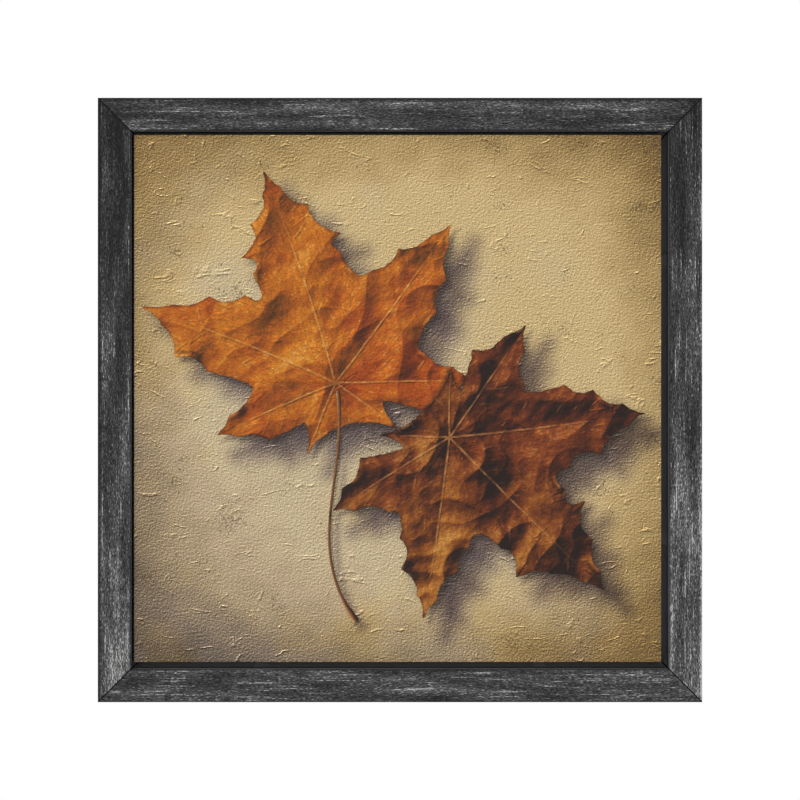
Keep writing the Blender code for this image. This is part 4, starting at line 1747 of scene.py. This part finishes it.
    def dress(self, rail: Piece, side: Side) -> None:
        """Lays the grain along the rail and round its edges, stores each side's painted light and
        shade, and marks where the mitre's joint and the outer arris's painted shade lie.

        Args:
            rail: The rail, lying as the bottom one.
            side: Where it goes.
        """
        x, y, z = points_of(rail).T
        across, behind = z + self.half, y - self.front
        # the grain runs on round both edges: down the outer side, up the channel's wall
        faces = rail.data.polygons
        facing = np.repeat(read(faces, "normal", 3, np.float32), read(faces, "loop_total"), axis=0)
        at = read(rail.data.loops, "vertex_index")
        round_edge = np.sign(facing[:, 2]) * (np.abs(facing[:, 2]) > 0.1) * (facing[:, 1] < 0.5)
        over = z[at] + self.front + round_edge * behind[at] + 0.11 * (facing[:, 1] > 0.5)
        along = x[at] + 1.3 * side.quarters
        store_uv(rail, "grain", np.stack([along, over + 0.37 * side.quarters], -1))
        # each side's pale paint is made denser or thinner as painted light and shade for that side,
        # and on the side rails it grows towards the bottom
        rising = -x if side is Side.RIGHT else x
        pale_paint_and_side_light = side.paleness + 0.10 * rising / self.half * (side in (Side.LEFT, Side.RIGHT))
        # the arris is as far from a point as the larger of its distances across and behind
        from_arris = np.maximum(across, behind)
        # the outer arris is painted shade on the top and left rails, partly on the bottom one; the
        # right rail's takes painted light instead
        near = 1 - smoothstep(0.4 * MM, 2.4 * MM, from_arris)
        pale_paint_and_side_light += 0.24 * max(0.0, side.arris_light - 0.5) * near
        store(rail, "from_arris", from_arris / MM + 3.4 * side.arris_light)
        store(rail, "cover_and_side_light", pale_paint_and_side_light)
        store(rail, "across", across / MM)
        store(rail, "seam", (self.half - np.abs(x) - across) / math.sqrt(2) / MM)
        store(rail, "depth", behind / MM)

    def build(self) -> None:
        """Makes the four rails."""
        finish = DryBrushedBarnwood("pine_charcoal_stained_dry_brushed").build()
        for side in Side:
            rail = self.shape(side)
            self.refine(rail)
            self.drill(rail, side)
            self.slot_nails(rail, side)
            clean(rail)
            self.dress(rail, side)
            rail.data.transform(self.turn(side))
            finish_with(rail, finish, 40)
            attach(rail, "root")
            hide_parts(f"frame_rail_{side.label}")


@dataclass
class StretchedCanvas:
    """One cloth pulled over the bars, down their sides and in behind them."""

    low: Sequence[float]
    high: Sequence[float]
    flap: float = 30 * MM
    thickness: float = 0.45 * MM
    paint_depth: float = 0.35 * MM
    edge: float = 1.2 * MM
    cells: int = 48

    def build(self) -> None:
        """Makes the cloth: front, returns and mitred flaps."""
        middle = [(a + b) / 2 for a, b in zip(self.low, self.high)]
        half = (self.high[0] - self.low[0]) / 2
        front = self.low[1] + self.paint_depth
        deselect()
        cells = {"x_subdivisions": self.cells, "y_subdivisions": self.cells}
        bpy.ops.mesh.primitive_grid_add(size=2 * half, **cells)
        cloth = bpy.context.object
        cloth.rotation_euler = (math.pi / 2, 0, 0)
        cloth.location = (middle[0], front, middle[2])
        settle(cloth, "canvas_cloth")
        edit(cloth, "EDGE", border_edges(cloth))
        back = self.high[1] - front
        bpy.ops.mesh.extrude_edges_move(TRANSFORM_OT_translate={"value": (0, back, 0)})
        bpy.ops.mesh.extrude_edges_move(TRANSFORM_OT_translate={"value": (0, 0, 0)})
        share = (half - self.flap) / half
        centre = (middle[0], self.high[1], middle[2])
        bpy.ops.transform.resize(value=(share, 1, share), center_override=centre)
        bpy.ops.object.mode_set(mode="OBJECT")
        points, ends = points_of(cloth), edge_ends(cloth)
        outer = (np.abs(np.abs(points[:, ::2] - (middle[0], middle[2])) - half) < 1e-6).any(1)
        rounded = np.zeros(len(ends), dtype=bool)
        for level in (front, self.high[1]):
            here = outer & (np.abs(points[:, 1] - level) < 1e-6)
            rounded |= here[ends[:, 0]] & here[ends[:, 1]]
        edit(cloth, "EDGE", rounded & ~border_edges(cloth))
        bpy.ops.mesh.bevel(offset=self.edge, segments=3, profile=0.5, clamp_overlap=True)
        bpy.ops.mesh.select_all(action="SELECT")
        bpy.ops.mesh.normals_make_consistent(inside=False)
        pick(cloth)
        solid = cloth.modifiers.new("cloth", "SOLIDIFY")
        solid.thickness = self.thickness
        solid.offset = -1
        bpy.ops.object.modifier_apply(modifier=solid.name)
        finish_with(cloth, WovenCanvas("cotton_duck_woven").build(), 40)
        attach(cloth, "root")
        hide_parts("canvas")


@dataclass
class Fixings:
    """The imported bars, screws, nails, staples, hanger and bumpers, which keep their own shapes."""

    nodes: dict[str, Piece]

    def build(self) -> None:
        """Dresses every node that stays."""
        steel = ZincPlatedSteel("steel_zinc_plated").build()
        rubber = MouldedRubber("rubber_moulded").build()
        across = PlanedPine("pine_planed_across", 0).build()
        upright = PlanedPine("pine_planed_upright", 2).build()
        kinds = {
            "stretcher_bar_top": across,
            "stretcher_bar_bottom": across,
            "stretcher_bar": upright,
            "wall_bumper": rubber,
            "canvas_staple": steel,
            "canvas": None,
            "frame_rail": None,
        }
        for name, node in self.nodes.items():
            finish = next((kinds[start] for start in kinds if name.startswith(start)), steel)
            for slot in node.material_slots if finish else ():
                slot.material = finish


@dataclass
class Studio:
    """A pale floor, soft light from the upper left, and a camera square to the picture."""

    middle: float
    front: float
    distance: float = 2.6
    shown: float = 0.6156
    sensor_mm: float = 36.0
    floor_below: float = 0.345
    key: float = 20.0
    fill: float = 7.5
    behind: float = 12.0
    ambient: float = 0.72

    def light(self, name: str, place: Sequence[float], size: float, power: float) -> None:
        """Adds one soft square light aimed at the picture.

        Args:
            name: The light's name.
            place: Where it is, with its height above the picture's middle.
            size: Its side.
            power: Its power in watts.
        """
        data = bpy.data.lights.new(name, "AREA")
        data.size, data.energy = size, power
        lamp = bpy.data.objects.new(name, data)
        lamp.location = (place[0], place[1], self.middle + place[2])
        aim = Vector((0, 0, self.middle)) - lamp.location
        lamp.rotation_euler = aim.to_track_quat("-Z", "Y").to_euler()
        bpy.context.scene.collection.objects.link(lamp)

    def build(self) -> None:
        """Sets up the floor, the lights, the white surroundings and the camera."""
        scene = bpy.context.scene
        deselect()
        bpy.ops.mesh.primitive_grid_add(x_subdivisions=6, y_subdivisions=4, size=1)
        floor = bpy.context.object
        floor.scale = (0.9, 0.5, 1)
        floor.location = (0, 0, self.middle - self.floor_below)
        settle(floor, "studio_floor")
        finish_with(floor, StudioPaper("paper_plain").build())
        self.light("key", (-1.5, -2.2, 1.5), 1.2, self.key)
        self.light("fill", (0.25, -3.0, 0.1), 0.9, self.fill)
        self.light("behind", (-0.8, 2.2, 1.2), 1.6, self.behind)
        # seen directly the surroundings are white, and they light the picture less than that
        world = bpy.data.worlds.new("white_surroundings")
        world.use_nodes = True
        tree = world.node_tree
        seen = add_node(tree, "LightPath", {}, "Is Camera Ray")
        ends = {"To Min": self.ambient, "To Max": 1.0}
        strength = add_node(tree, "MapRange", {"Value": seen, **ends})
        feed(tree, tree.nodes["Background"], {"Color": (1, 1, 1, 1), "Strength": strength})
        scene.world = world
        scene.view_settings.view_transform = "Standard"
        data = bpy.data.cameras.new("camera")
        data.sensor_width = self.sensor_mm
        data.lens = self.sensor_mm * self.distance / self.shown
        camera = bpy.data.objects.new("camera", data)
        camera.location = (0, self.front - self.distance, self.middle)
        camera.rotation_euler = (math.pi / 2, 0, 0)
        scene.collection.objects.link(camera)
        scene.camera = camera


# how far the plaster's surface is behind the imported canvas's front
PLASTER_BEHIND = 0.15 * MM


def main() -> None:
    """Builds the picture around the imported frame."""
    logging.basicConfig(level=logging.INFO, format="%(message)s")
    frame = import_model()
    nodes = frame["nodes"]
    boxes = {name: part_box(name) for name in frame["nodes"]}
    low, high = boxes["canvas"]
    rail_low, rail_high = boxes["frame_rail_bottom"]
    middle = (rail_low[2] + boxes["frame_rail_top"][1][2]) / 2
    half = (rail_high[0] - rail_low[0]) / 2
    plaster = low[1] + PLASTER_BEHIND
    Studio(middle, rail_low[1]).build()
    FloaterFrame(half, middle, rail_low[1], rail_high[1], boxes, nodes).build()
    StretchedCanvas(low, high).build()
    canvas_middle = ((low[0] + high[0]) / 2, (low[2] + high[2]) / 2)
    Painting(canvas_middle, plaster, (high[0] - low[0]) / 2 / MM).build()
    Fixings(nodes).build()
    LOG.info("studio, frame, canvas, painting and fixings are ready")
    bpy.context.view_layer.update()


if __name__ == "__main__":
    main()
